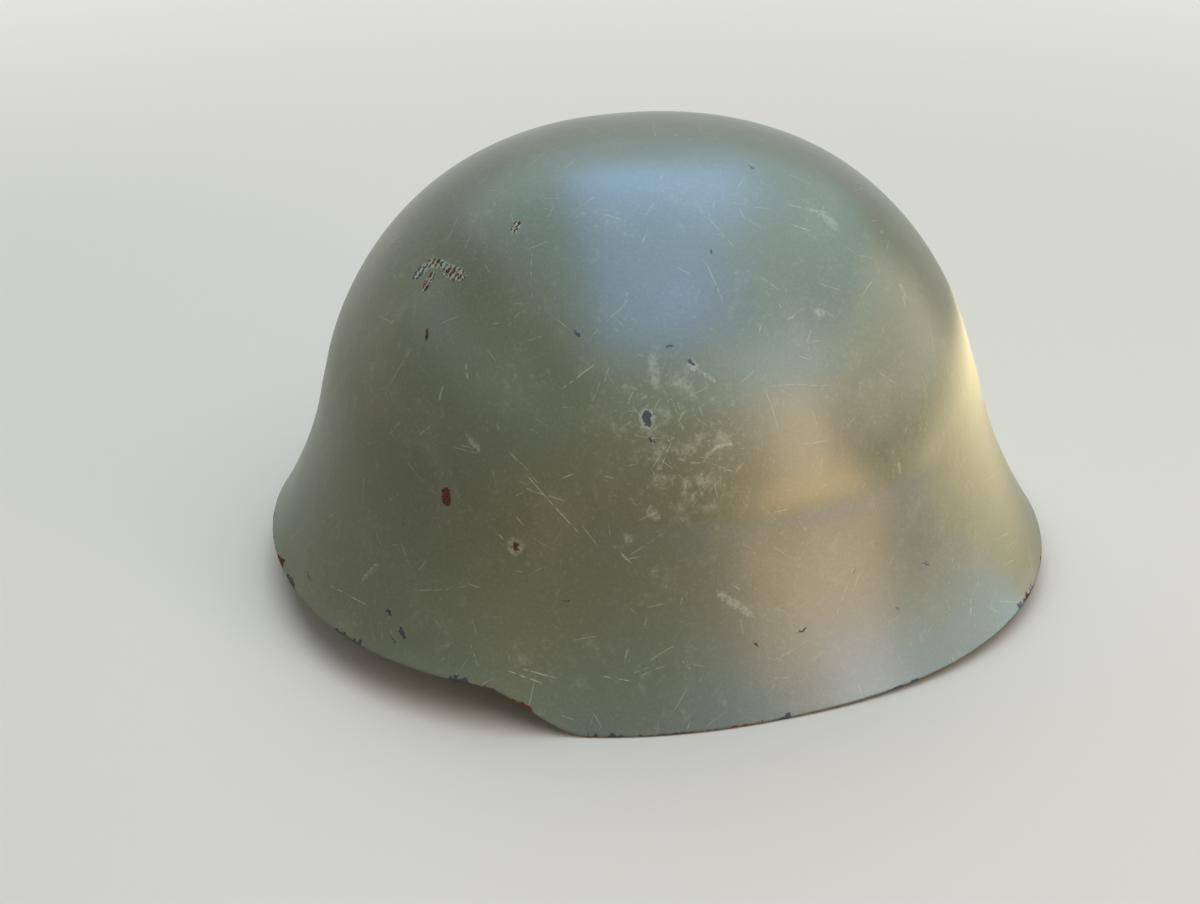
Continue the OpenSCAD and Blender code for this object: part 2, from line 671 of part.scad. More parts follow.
module chinstrap_keeper() {
    inner = short_over + strap_t + 0.6;
    color("sienna") on_loop(keeper_turn, short_over/2) rotate([90, 0, 0]) linear_extrude(7, center = true)
        difference() {
            polygon(rounded_box(inner + 2.4, strap_w + 3, 1.2));
            polygon(rounded_box(inner, strap_w + 0.6, 0.4));
        }
}

module chinstrap_tip() {
    color("goldenrod") on_loop(tail_end, 0) translate([0, 0.3, 0]) difference() {
        translate([0, -2, 0]) cube([strap_t + 1, 6, strap_w + 1], center = true);
        translate([0, -2.6, 0]) cube([strap_t + 0.2, 6, strap_w + 0.2], center = true);
    }
}

// Clamping buckle: a channel over the strap with a cam lever on a cross pin
pivot_x = -3.6;
pin_r = 1.2;
tack_r = 0.9;
ear_gap = strap_w + 0.8;
buckle_l = 14;
lever_w = ear_gap - 0.5;
module buckle_tacks(r) {
    on_loop(buckle_at, 0) for (y = [-3, 3]) translate([0, y, 0]) pin_x(r, plate_out + 0.5, short_over + 1.2);
}

module chinstrap_buckle() {
    reach = pivot_x - plate_out;
    color("gainsboro") {
        on_loop(buckle_at, 0) difference() {
            union() {
                translate([plate_out + 0.5, 0, 0]) cube([1, buckle_l, ear_gap + 2], center = true);
                for (m = [-1, 1]) translate([plate_out, 0, m*(ear_gap + 1)/2 - 0.5])
                    linear_extrude(1) polygon(rounded([[-1, -buckle_l/2 + 2], [-1, buckle_l/2 - 2],
                        [reach, 1], [reach, -1]], 2));
            }
            translate([pivot_x, 0, 0]) cylinder(h = 30, r = pin_r, center = true, $fn = 32);
        }
        buckle_tacks(tack_r);
        on_loop(buckle_at, 0) for (y = [-3, 3]) translate([short_over + strap_t/2 + seat, y, 0])
            rivet_head(2, 0.8, 1);
    }
}

// The lever's arm runs from its cam to a rolled grip
cam_r = 2.05;
arm_l = 15;
arm_t = 1.2;
grip_r = 1.3;
module buckle_lever() {
    color("lightgray") on_loop(buckle_at, 0) translate([pivot_x, 0, 0]) {
        cylinder(h = ear_gap + 2, r = pin_r - run, center = true, $fn = 32);
        translate([0.5, 0, 0]) cylinder(h = lever_w, r = cam_r, center = true, $fn = 32);
        translate([-0.9, -0.5 - arm_l/2, 0]) cube([arm_t, arm_l, lever_w], center = true);
        translate([-grip_r, -1 - arm_l, 0]) cylinder(h = lever_w, r = grip_r, center = true, $fn = 32);
    }
}

// The row's origin is the middle of the footprint
translate([0, -middle_y, 0]) {
    steel_shell();
    loop_hinge_left();
    loop_hinge_right();
    wire_loop_left();
    wire_loop_right();
    liner_shell();
    suspension_rivets();
    a_washers();
    headband();
    crown_strap_front_left();
    crown_strap_side_left();
    crown_strap_back_left();
    crown_strap_back_right();
    crown_strap_side_right();
    crown_strap_front_right();
    crown_lace();
    sweatband();
    sweatband_clips();
    sweatband_tab();
    sweatband_buckle();
    nape_strap();
    nape_studs();
    front_eyelet();
    chinstrap_stud_left();
    chinstrap_stud_right();
    chinstrap_clip_left();
    chinstrap_clip_right();
    chinstrap_long();
    chinstrap_short();
    chinstrap_keeper();
    chinstrap_tip();
    chinstrap_buckle();
    buckle_lever();
}
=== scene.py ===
# Looks of the two-piece combat helmet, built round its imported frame.
# The front faces -Y, the wearer's left is +X, and the rim stands on Z = 0. Shapes are worked out
# in the design's millimetres, and piece() gives them to the frame in metres.
import math
import bmesh
import bpy
import numpy as np
from mathutils import Matrix, Vector


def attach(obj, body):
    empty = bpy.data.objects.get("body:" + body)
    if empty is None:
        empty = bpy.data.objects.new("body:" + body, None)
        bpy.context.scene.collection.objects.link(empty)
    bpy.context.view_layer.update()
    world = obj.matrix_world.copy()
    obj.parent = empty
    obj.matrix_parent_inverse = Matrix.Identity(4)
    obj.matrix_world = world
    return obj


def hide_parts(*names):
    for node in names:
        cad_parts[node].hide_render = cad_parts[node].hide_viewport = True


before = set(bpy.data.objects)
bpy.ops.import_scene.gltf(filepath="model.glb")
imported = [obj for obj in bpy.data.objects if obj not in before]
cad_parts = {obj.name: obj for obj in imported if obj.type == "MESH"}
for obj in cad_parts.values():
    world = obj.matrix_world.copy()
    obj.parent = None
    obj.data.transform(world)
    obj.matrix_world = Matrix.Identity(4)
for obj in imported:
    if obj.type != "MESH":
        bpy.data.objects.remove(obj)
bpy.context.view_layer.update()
MM = 0.001
CENTRED = (-0.5, -0.5, -0.5)


# Finishes

def tone(red, green, blue):
    """Linear colour of a display colour from 0 to 255."""
    parts = [c / 255 for c in (red, green, blue)]
    return tuple(c / 12.92 if c <= 0.04045 else ((c + 0.055) / 1.055) ** 2.4 for c in parts) + (1.0,)


def math_node(operation, reflected=False):
    """An operator of Value that adds one Math node."""
    def operate(value, *others):
        values = (*others, value) if reflected else (value, *others)
        return value.finish.node("ShaderNodeMath", values, operation=operation)
    return operate


class Value:
    """One output socket of a finish, on which Python's operators add nodes."""

    def __init__(self, finish, socket):
        self.finish, self.socket = finish, socket

    def twin(self, output):
        """Another output of the node that this value comes from."""
        return Value(self.finish, self.socket.node.outputs[output])

    __add__, __radd__ = math_node("ADD"), math_node("ADD", True)
    __sub__, __rsub__ = math_node("SUBTRACT"), math_node("SUBTRACT", True)
    __mul__, __rmul__ = math_node("MULTIPLY"), math_node("MULTIPLY", True)
    __truediv__, __abs__ = math_node("DIVIDE"), math_node("ABSOLUTE")
    least, most = math_node("MINIMUM"), math_node("MAXIMUM")
    sine, part = math_node("SINE"), math_node("FRACT")


class Nodes:
    """A tree of nodes, to which one method adds any kind of them."""

    def __init__(self, tree):
        self.tree = tree

    def node(self, kind, inputs=(), output=0, **settings):
        made = self.tree.nodes.new(kind)
        for name, value in settings.items():
            setattr(made, name, value)
        pairs = inputs.items() if isinstance(inputs, dict) else enumerate(inputs)
        for key, value in pairs:
            if isinstance(value, Value):
                self.tree.links.new(value.socket, made.inputs[key])
            else:
                made.inputs[key].default_value = value
        return Value(self, made.outputs[output])

    def show(self, surface):
        self.tree.links.new(surface.socket, self.tree.get_output_node("ALL").inputs["Surface"])


class Finish(Nodes):
    """A material made of nodes round one shader."""

    def __init__(self, name, **constants):
        self.material = bpy.data.materials.new(name)
        self.material.use_nodes = True
        super().__init__(self.material.node_tree)
        self.shader = self.tree.nodes["Principled BSDF"]
        for socket, value in constants.items():
            self.shader.inputs[socket.replace("_", " ")].default_value = value

    def feed(self, **links):
        for socket, value in links.items():
            self.tree.links.new(value.socket, self.shader.inputs[socket.replace("_", " ")])
        return self

    def place(self):
        return self.node("ShaderNodeTexCoord", output="Object")

    def strip(self):
        """Metres along and across a strip of leather or webbing."""
        along = self.node("ShaderNodeSeparateXYZ", [self.node("ShaderNodeTexCoord", output="UV")])
        return along, along.twin("Y")

    def noise(self, place, scale, detail=2.0, rough=0.5, output=0):
        sockets = {"Vector": place, "Scale": scale, "Detail": detail, "Roughness": rough}
        return self.node("ShaderNodeTexNoise", sockets, output)

    def cells(self, place, scale, output="Distance", feature="F1"):
        return self.node("ShaderNodeTexVoronoi", {"Vector": place, "Scale": scale}, output, feature=feature)

    def turned(self, place, turn, size):
        return self.node("ShaderNodeMapping", {"Vector": place, "Rotation": turn, "Scale": size})

    def vector(self, operation, inputs, output=0):
        return self.node("ShaderNodeVectorMath", inputs, output, operation=operation)

    def shifted(self, place, amount, scale):
        """The place moved about by a noise of up to that amount."""
        pushed = self.vector("ADD", [self.noise(place, scale, output=1), CENTRED])
        return self.vector("ADD", [place, self.vector("SCALE", {0: pushed, "Scale": amount})])

    def fade(self, value, low, high, out_low=0.0, out_high=1.0):
        sockets = {"Value": value, "From Min": low, "From Max": high, "To Min": out_low, "To Max": out_high}
        return self.node("ShaderNodeMapRange", sockets, interpolation_type="SMOOTHSTEP")

    def blend(self, share, under, over):
        return self.node("ShaderNodeMix", {0: share, 6: under, 7: over}, 2, data_type="RGBA")

    def coats(self, ground, *coats):
        """A display colour with others laid over it: each coat is its share and its colour."""
        colour = tone(*ground)
        for share, *over in coats:
            colour = self.blend(share, colour, tone(*over))
        return colour

    def bump(self, height, distance, strength=1.0, **under):
        sockets = {"Height": height, "Distance": distance, "Strength": strength, **under}
        return self.node("ShaderNodeBump", sockets)


# The helmet's skin, as its source has it, in millimetres

SHELL_H, HALF_W, REACH_FRONT, REACH_BACK, BASE = 160, 105.5, 116.5, 117, 67
CROWN_POWER, SHOULDER_POWER, PLAN_POWER, SHELL_WALL = 1.6, 2.65, 2.11, 1.1
FLARE, FLARE_QUARTER, FLARE_START, FLARE_POWER = (20.5, 14.5, 28), (1.75, 4), (77.5, 66.5, 88), 1.67
VISOR_RISE, NAPE_RISE, STEP_AT, STEP_SPAN = 15.5, 11, 58, 16
DRAFT, DRAFT_SHIFT = 0.8, -0.95
LINER_OUT, LINER_WALL, LINER_LIFT, LINER_FLARE = 3.1, 2.2, 9, 0.1
LINER_IN = LINER_OUT + LINER_WALL
MIDDLE_Y = 4.92289


def sin(a):
    return np.sin(np.radians(a))


def cos(a):
    return np.cos(np.radians(a))


def ease(low, high, x):
    u = np.clip((np.asarray(x, float) - low) / (high - low), 0, 1)
    return u * u * (3 - 2 * u)


def unit(v):
    v = np.asarray(v, float)
    return v / np.linalg.norm(v, axis=-1, keepdims=True)


def matched(t, s):
    """Both as arrays of one shape."""
    return np.broadcast_arrays(np.asarray(t, float), np.asarray(s, float))


def around(t, front, side, back):
    f, b = np.clip(cos(t), 0, None) ** 2, np.clip(-cos(t), 0, None) ** 2
    return front * f + back * b + side * (1 - f - b)


def rim_z(t):
    turn = np.degrees(np.arccos(np.clip(cos(t), -1, 1)))
    step = 1 - ease(STEP_AT - STEP_SPAN / 2, STEP_AT + STEP_SPAN / 2, turn)
    return VISOR_RISE * step + NAPE_RISE * np.clip(-cos(t), 0, None) ** 2


def skin(t, s, flared=1.0, lift=0.0):
    """A point of the skin: t runs round it, s from the crown at 0 over the base at 1 to the rim at 2."""
    t, s = matched(t, s)
    x = np.sign(sin(t)) * np.abs(sin(t)) ** (2 / PLAN_POWER) * HALF_W
    y = -np.sign(cos(t)) * np.abs(cos(t)) ** (2 / PLAN_POWER) * np.where(cos(t) > 0, REACH_FRONT, REACH_BACK)
    oval, rise = np.hypot(x, y), np.clip(s, 0, 1)
    z = np.where(s <= 1, BASE + (SHELL_H - BASE) * np.clip(cos(90 * rise), 0, 1) ** (2 / CROWN_POWER),
                 BASE + (rim_z(t) + lift - BASE) * (s - 1))
    below = np.clip(BASE + 25 - z, 0, None)
    lean = np.tan(np.radians(DRAFT + DRAFT_SHIFT * around(t, 1, 0, -1)))
    start = around(t, *FLARE_START)
    width = around(t, *FLARE) + sin(2 * t) ** 2 * np.where(cos(t) > 0, *FLARE_QUARTER)
    flare = width * (np.clip(start - z, 0, None) / (start - rim_z(t))) ** FLARE_POWER
    r = oval * sin(90 * rise) ** (2 / SHOULDER_POWER) + flared * flare
    r = r + lean * np.where(below < 50, below * below / 100, below - 25)
    return np.stack([x / oval * r, y / oval * r, z], -1)


def skin_normal(t, s, flared=1.0, lift=0.0):
    t, s = matched(t, s)
    down = skin(t, s + 0.01, flared, lift) - skin(t, np.maximum(s - 0.01, 1e-4), flared, lift)
    side = skin(t + 0.5, s, flared, lift) - skin(t - 0.5, s, flared, lift)
    return np.where(s[..., None] < 0.02, np.array([0, 0, 1.0]), unit(np.cross(down, side)))


def inset(t, s, flared, lift, depth):
    """A point at a depth inside the skin, moved level at the rim so that the edge is cut flat."""
    t, s = matched(t, s)
    p, n = skin(t, s, flared, lift), skin_normal(t, s, flared, lift)
    level = unit(n * [1, 1, 0] + [1e-9, 0, 0])
    share = np.maximum(0.3, (n * level).sum(-1, keepdims=True))
    depth = np.broadcast_to(np.asarray(depth, float), t.shape)[..., None]
    return np.where(s[..., None] < 1.99, p - n * depth, p - level * depth / share)


def skin_s(t, z, lift=0.0):
    return 1 + (BASE - z) / (BASE - rim_z(t) - lift)


def column_of(a):
    """The skin's t at an angle round the helmet."""
    a = np.asarray(a, float)
    ratio = np.where(cos(a) > 0, REACH_FRONT, REACH_BACK) / HALF_W
    power = PLAN_POWER / 2
    q = np.degrees(np.arctan2((np.abs(sin(a)) * ratio) ** power, np.abs(cos(a)) ** power))
    left = np.where(cos(a) >= 0, q, 180 - q)
    right = np.where(cos(a) >= 0, 360 - q, 180 + q)
    return np.where(sin(a) >= 0, left, right)


def liner_point(a, z, depth):
    t = column_of(a)
    return inset(t, skin_s(t, z, LINER_LIFT), LINER_FLARE, LINER_LIFT, depth)


def liner_normal(a, z):
    t = column_of(a)
    return skin_normal(t, skin_s(t, z, LINER_LIFT), LINER_FLARE, LINER_LIFT)


def liner_r(a, z, depth):
    return np.linalg.norm(liner_point(a, z, depth)[..., :2], axis=-1)


def heading(a):
    """Level unit vector at that angle round the helmet."""
    a = np.asarray(a, float)
    return np.stack([sin(a), -cos(a), 0 * a], -1)


def place_mm(points):
    """Design millimetres to the row frame's metres."""
    return (np.asarray(points, float) - [0, MIDDLE_Y, 0]) * MM


# Building pieces: a shape is its points, its faces and its places along and across a strip

def piece(name, shape, body, finish, slot, *replaced):
    points, faces, uv = shape
    mesh = bpy.data.meshes.new(name)
    mesh.from_pydata(place_mm(points).reshape(-1, 3).tolist(), [], [tuple(map(int, f)) for f in faces])
    facing = bmesh.new()
    facing.from_mesh(mesh)
    bmesh.ops.recalc_face_normals(facing, faces=facing.faces)
    facing.to_mesh(mesh)
    facing.free()
    mesh.polygons.foreach_set("use_smooth", [True] * len(mesh.polygons))
    layer = mesh.uv_layers.new(name="strip")
    index = np.zeros(len(mesh.loops), np.int32)
    mesh.loops.foreach_get("vertex_index", index)
    layer.data.foreach_set("uv", (np.reshape(uv, (-1, 2)) * MM).astype(np.float32)[index].ravel())
    mesh.materials.append(finish.material)
    made = bpy.data.objects.new(name, mesh)
    bpy.context.scene.collection.objects.link(made)
    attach(made, body)
    if replaced:
        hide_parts(*replaced)
    return made


def gathered(shapes):
    """One shape from several."""
    points, faces, uvs, start = [], [], [], 0
    for p, f, uv in shapes:
        p = np.reshape(p, (-1, 3))
        points.append(p)
        faces += [[k + start for k in face] for face in f]
        uvs.append(np.zeros((len(p), 2)) if uv is None else np.reshape(uv, (-1, 2)))
        start += len(p)
    return np.concatenate(points), faces, np.concatenate(uvs)


def tube_faces(rows, columns, joined=False, capped=False):
    """Quads of a tube of rings; joined ties the last ring to the first, and capped closes both ends."""
    i, j = np.meshgrid(np.arange(rows if joined else rows - 1), np.arange(columns), indexing="ij")
    n, k = (i + 1) % rows, (j + 1) % columns
    quads = np.stack([i * columns + j, i * columns + k, n * columns + k, n * columns + j], -1)
    last = (rows - 1) * columns
    caps = [list(range(columns)), [last + k for k in reversed(range(columns))]]
    return quads.reshape(-1, 4).tolist() + (caps if capped else [])


def run_along(path):
    """How far along a line each of its points is."""
    return np.concatenate([[0], np.cumsum(np.linalg.norm(np.diff(path, axis=0), axis=1))])


def curve_through(points, step, closed=False):
    """A smooth line through the points, at even steps, and how far along each step is."""
    p = np.asarray(points, float)
    n, dense = len(p), []
    for i in range(n if closed else n - 1):
        a, b, c, d = (p[k % n if closed else min(max(k, 0), n - 1)] for k in range(i - 1, i + 3))
        for u in np.arange(0, 1, 0.1):
            dense.append(0.5 * (2 * b + (c - a) * u + (2 * a - 5 * b + 4 * c - d) * u * u
                                + (3 * b - a - 3 * c + d) * u ** 3))
    dense.append(p[0] if closed else p[-1])
    dense = np.array(dense)
    run = run_along(dense)
    at = np.linspace(0, run[-1], max(4, int(round(run[-1] / step))) + 1)
    if closed:
        at = at[:-1]
    return np.stack([np.interp(at, run, dense[:, k]) for k in range(dense.shape[1])], -1), at


def with_vectors(line, vectors):
    """A line's points, each with its own vector or with the one that is given for all."""
    return np.hstack([line, np.broadcast_to(vectors, np.shape(line))])


def tangents(path, closed=False):
    if closed:
        return unit(np.roll(path, -1, 0) - np.roll(path, 1, 0))
    return unit(np.gradient(path, axis=0))


def strip_section(width, thick, bead):
    """Cross-section of a strip: flat faces, rounded edges, and a bead of that height along each edge."""
    t = thick / 2
    inner = width / 2 - t
    top = [(v, t + bead * math.exp(-((abs(v) - inner + t * 0.6) / (0.9 * t)) ** 2))
           for v in np.linspace(-inner, inner, 11)]
    right = [(inner + t * math.sin(a), t * math.cos(a)) for a in np.radians([36, 72, 108, 144])]
    bottom = [(v, -n) for v, n in reversed(top)]
    left = [(-v, -n) for v, n in right]
    return np.array(top + right + bottom + left)


def strip(name, path, across, width, thick, body, finish, slot, *replaced, step=1.5, closed=False, bead=0.0,
          ripple=0.0, taper=None):
    """A strip of webbing or leather along a path of points, its width along the across vectors."""
    both, at = curve_through(with_vectors(path, across), step, closed)
    path, across = both[:, :3], unit(both[:, 3:])
    out = unit(np.cross(across, tangents(path, closed)))
    section = strip_section(width, thick, bead)
    waves = ripple * (np.sin(at * 0.31 + width) + 0.6 * np.sin(at * 0.83 + thick * 9))
    size = np.ones(len(path)) if taper is None else taper(at / at[-1])
    rings = (path[:, None] + across[:, None] * section[None, :, :1] * size[:, None, None]
             + out[:, None] * (section[None, :, 1:] + waves[:, None, None]))
    uv = np.stack(np.broadcast_arrays(at[:, None], section[None, :, 0]), -1)
    shape = rings, tube_faces(len(path), len(section), closed, not closed), uv
    piece(name, shape, body, finish, slot, *replaced)


def braided(path, r, depth=0.1, sides=16, swell=1.0, capped=False):
    """Shape of a braided cord along a fine path."""
    along, at = tangents(path), run_along(path)
    u = unit(np.cross(along, [0.3, 0.1, 1.0]))
    v = np.cross(u, along)
    phi = np.arange(sides) * 2 * np.pi / sides
    turn = 2 * np.pi * at[:, None] / BRAID_PITCH
    braid = 1 + depth * np.sin(BRAID_LOBES * phi + turn) * np.sin(BRAID_LOBES * phi - turn)
    ring = u[:, None] * np.cos(phi)[None, :, None] + v[:, None] * np.sin(phi)[None, :, None]
    uv = np.stack(np.broadcast_arrays(at[:, None], r * phi[None, :]), -1)
    rings = path[:, None] + r * braid[..., None] * ring * np.reshape(swell, (-1, 1, 1))
    return rings, tube_faces(len(path), sides, capped=capped), uv


def stitches(name, rows, body, finish, slot, pitch=3.4, length=2.3, r=0.32):
    """Separate stitches along rows: each row is a line on a face, and the face's outward vectors."""
    phi, shapes = np.arange(6) * np.pi / 3, []
    for line, out in rows:
        both, at = curve_through(with_vectors(line, out), 0.5)
        for middle in np.arange(pitch / 2, at[-1] - pitch / 3, pitch):
            rings = []
            for q in np.linspace(-1, 1, 6):
                where = middle + q * length / 2
                p = np.array([np.interp(where, at, both[:, k]) for k in range(6)])
                ahead = np.array([np.interp(where + 0.3, at, both[:, k]) for k in range(3)])
                d, n = unit(ahead - p[:3] + 1e-9), unit(p[3:])
                side = np.cross(d, n)
                swell = r * math.sqrt(max(0.02, 1 - (0.96 * q) ** 2))
                sunk = p[:3] + n * (r * 0.35 - STITCH_DIP - r * 0.9 * q ** 4)
                rings.append(sunk + swell * (np.cos(phi)[:, None] * side + np.sin(phi)[:, None] * n))
            shapes.append((rings, tube_faces(6, 6, capped=True), None))
    piece(name, gathered(shapes), body, finish, slot)


def box_seam(half, rows, count):
    """A box of stitching: places (across, row) along each of its rows, then along both of its sides."""
    lines = [[(w, row) for w in np.linspace(-half, half, count)] for row in rows]
    return lines + [[(w, row) for row in np.linspace(rows[0], rows[-1], 4)] for w in (-half, half)]


def lathed(profile, at, axis, sides=24):
    """A turned shape: (radius, height) points spun round an axis that stands at a place."""
    n = unit(axis)
    u = unit(np.cross(n, [0.31, 0.17, 0.93]))
    v = np.cross(n, u)
    phi = np.arange(sides) * 2 * np.pi / sides
    level = np.cos(phi)[:, None] * u + np.sin(phi)[:, None] * v
    rings = [np.asarray(at) + r * level + h * n for r, h in profile]
    last = (len(profile) - 1) * sides
    caps = [list(reversed(range(sides))), [last + k for k in range(sides)]]
    return np.array(rings), tube_faces(len(profile), sides) + caps, None


def dress(node, finish, bevel):
    """Gives a CAD node its finish, softened edges and even shading."""
    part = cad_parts[node]
    part.data.materials.clear()
    part.data.materials.append(finish.material)
    part.data.polygons.foreach_set("use_smooth", [True] * len(part.data.polygons))
    part.modifiers.new("weld", "WELD").merge_threshold = 1e-5
    if bevel:
        edge = part.modifiers.new("edges", "BEVEL")
        edge.width, edge.segments, edge.angle_limit = bevel * MM, 2, math.radians(38)
        edge.limit_method, edge.use_clamp_overlap = "ANGLE", True
    even = part.modifiers.new("even", "WEIGHTED_NORMAL")
    even.keep_sharp, even.weight = False, 80


# Paint, webbing, leather and metal

# Marks in the paint, each from one place of the skin to another: t, s, t, s, and its width in mm
RUST = [
    (37.9, 0.923, 38.5, 0.982, 3.6), (51.4, 1.130, 52.2, 1.157, 2.4), (23.1, 0.584, 24.6, 0.607, 1.2),
    (95.5, 1.603, 97.3, 1.581, 0.9), (89.5, 1.609, 89.8, 1.630, 1.3)]
COMBED = [
    (10.2, 0.512, 11.3, 0.472, 4.6), (16.0, 0.520, 15.2, 0.478, 3.4), (10.7, 0.469, 17.0, 0.451, 4),
    (17.1, 0.458, 25.3, 0.457, 5), (29.9, 0.328, 28.0, 0.303, 3)]
BARE = [
    (72.5, 0.674, 72.9, 0.706, 2.8), (73.1, 0.732, 74.1, 0.743, 1.1), (75.5, 0.541, 77.5, 0.536, 0.9),
    (80.0, 0.568, 81.2, 0.584, 1.1), (30.8, 1.730, 32.2, 1.767, 1.4), (34.3, 1.802, 35.7, 1.857, 1.7),
    (33.2, 1.871, 34.6, 1.906, 0.9), (8.9, 1.850, 11.8, 1.873, 0.8), (129.9, 0.137, 128.2, 0.150, 1.1),
    (87.6, 0.331, 87.9, 0.339, 1), (60.2, 1.387, 61.8, 1.373, 0.7), (119.9, 1.463, 121.4, 1.492, 0.9),
    (112.7, 1.609, 113.5, 1.649, 0.7), (105.8, 1.382, 106.3, 1.349, 0.6), (57.3, 0.511, 58.7, 0.527, 1.1)]
HALOS = [
    (72.5, 0.674, 72.9, 0.706, 5.4), (51.4, 1.130, 52.2, 1.157, 5.6), (80.3, 0.575, 81.4, 0.588, 3.2)]
SMEARS = [
    (123.8, 0.282, 128.8, 0.311, 2), (128.9, 0.308, 127.3, 0.357, 4.6),
    (118.5, 0.255, 123.8, 0.282, 0.8), (84.2, 1.328, 89.6, 1.480, 3), (73.2, 0.551, 74.1, 0.626, 3.6),
    (73.3, 0.904, 74.9, 0.936, 3.6), (69.9, 1.007, 70.6, 1.039, 2.8), (106.8, 0.505, 108.3, 0.518, 2.8),
    (133.9, 0.525, 133.3, 0.558, 2.4), (23.8, 1.651, 26.1, 1.508, 2), (81.4, 0.588, 84.7, 0.619, 1.4),
    (40.3, 0.770, 43.6, 0.798, 2.2)]
SCRATCHES = [
    (52.2, 0.827, 58.4, 0.915, 0.5), (57.9, 0.907, 62.5, 1.011, 0.5), (53.5, 0.832, 60.5, 0.944, 0.35),
    (62.5, 0.959, 67.0, 1.130, 0.35), (67.7, 1.061, 71.5, 1.175, 0.6), (50.7, 0.901, 61.5, 0.815, 0.5),
    (62.9, 0.574, 56.7, 0.639, 0.4), (57.2, 0.674, 70.7, 0.661, 0.35), (94.6, 0.355, 99.5, 0.490, 0.35),
    (112.9, 0.301, 120.1, 0.348, 0.5), (16.8, 1.799, 26.8, 1.767, 0.5), (53.3, 1.864, 58.9, 1.828, 0.45),
    (55.1, 1.819, 61.3, 1.769, 0.45), (56.8, 1.850, 64.7, 1.749, 0.35), (66.8, 1.712, 72.2, 1.741, 0.5),
    (30.5, 0.565, 41.5, 0.519, 0.3), (21.2, 0.549, 37.8, 0.589, 0.3), (75.0, 0.806, 76.9, 0.738, 0.3)]
KNOCKED = [(76.2, 0.652, 79.8, 0.834, 46)]

def nearest_mark(finish, place, rows):
    """How far a place is from the nearest of the listed slim ovals: under 1 inside one."""
    nearest = None
    for t0, s0, t1, s1, width in rows:
        a, b = place_mm(skin(t0, s0)), place_mm(skin(t1, s1))
        half, reach = width * MM / 2, np.linalg.norm(b - a) / 2
        both = sum(finish.vector("DISTANCE", [place, end], "Value") for end in (a, b))
        away = both * both * (0.25 / half ** 2) - (reach / half) ** 2
        nearest = away if nearest is None else nearest.least(away)
    return nearest


def strokes(finish, place, scale, width, length, share):
    """Short straight lines, one in each of that share of the cells that fill the place."""
    cell = finish.cells(place, scale, "Position")
    local = finish.vector("SUBTRACT", [place, cell])
    turn = finish.vector("NORMALIZE", [finish.vector("ADD", [cell.twin("Color"), CENTRED])])
    off = abs(finish.vector("DOT_PRODUCT", [local, turn], "Value"))
    far = finish.vector("LENGTH", [local], "Value")
    chance = finish.node("ShaderNodeTexWhiteNoise", [cell])
    picked = finish.node("ShaderNodeMath", [chance, share], operation="LESS_THAN")
    line = finish.fade(off, width * MM, width * MM * 0.3)
    return line * finish.fade(far, length * MM, length * MM * 0.6) * picked


def rim_wear(paint):
    """Bare, rusted steel along the raw edge, by how far up from the rim it is."""
    reach = paint.fade(paint.noise(paint.place(), 48, 4.0, 0.75), 0.5, 0.72, 0.00045, 0.0042)
    return paint.fade(paint.strip()[1] / reach, 1.05, 0.85)


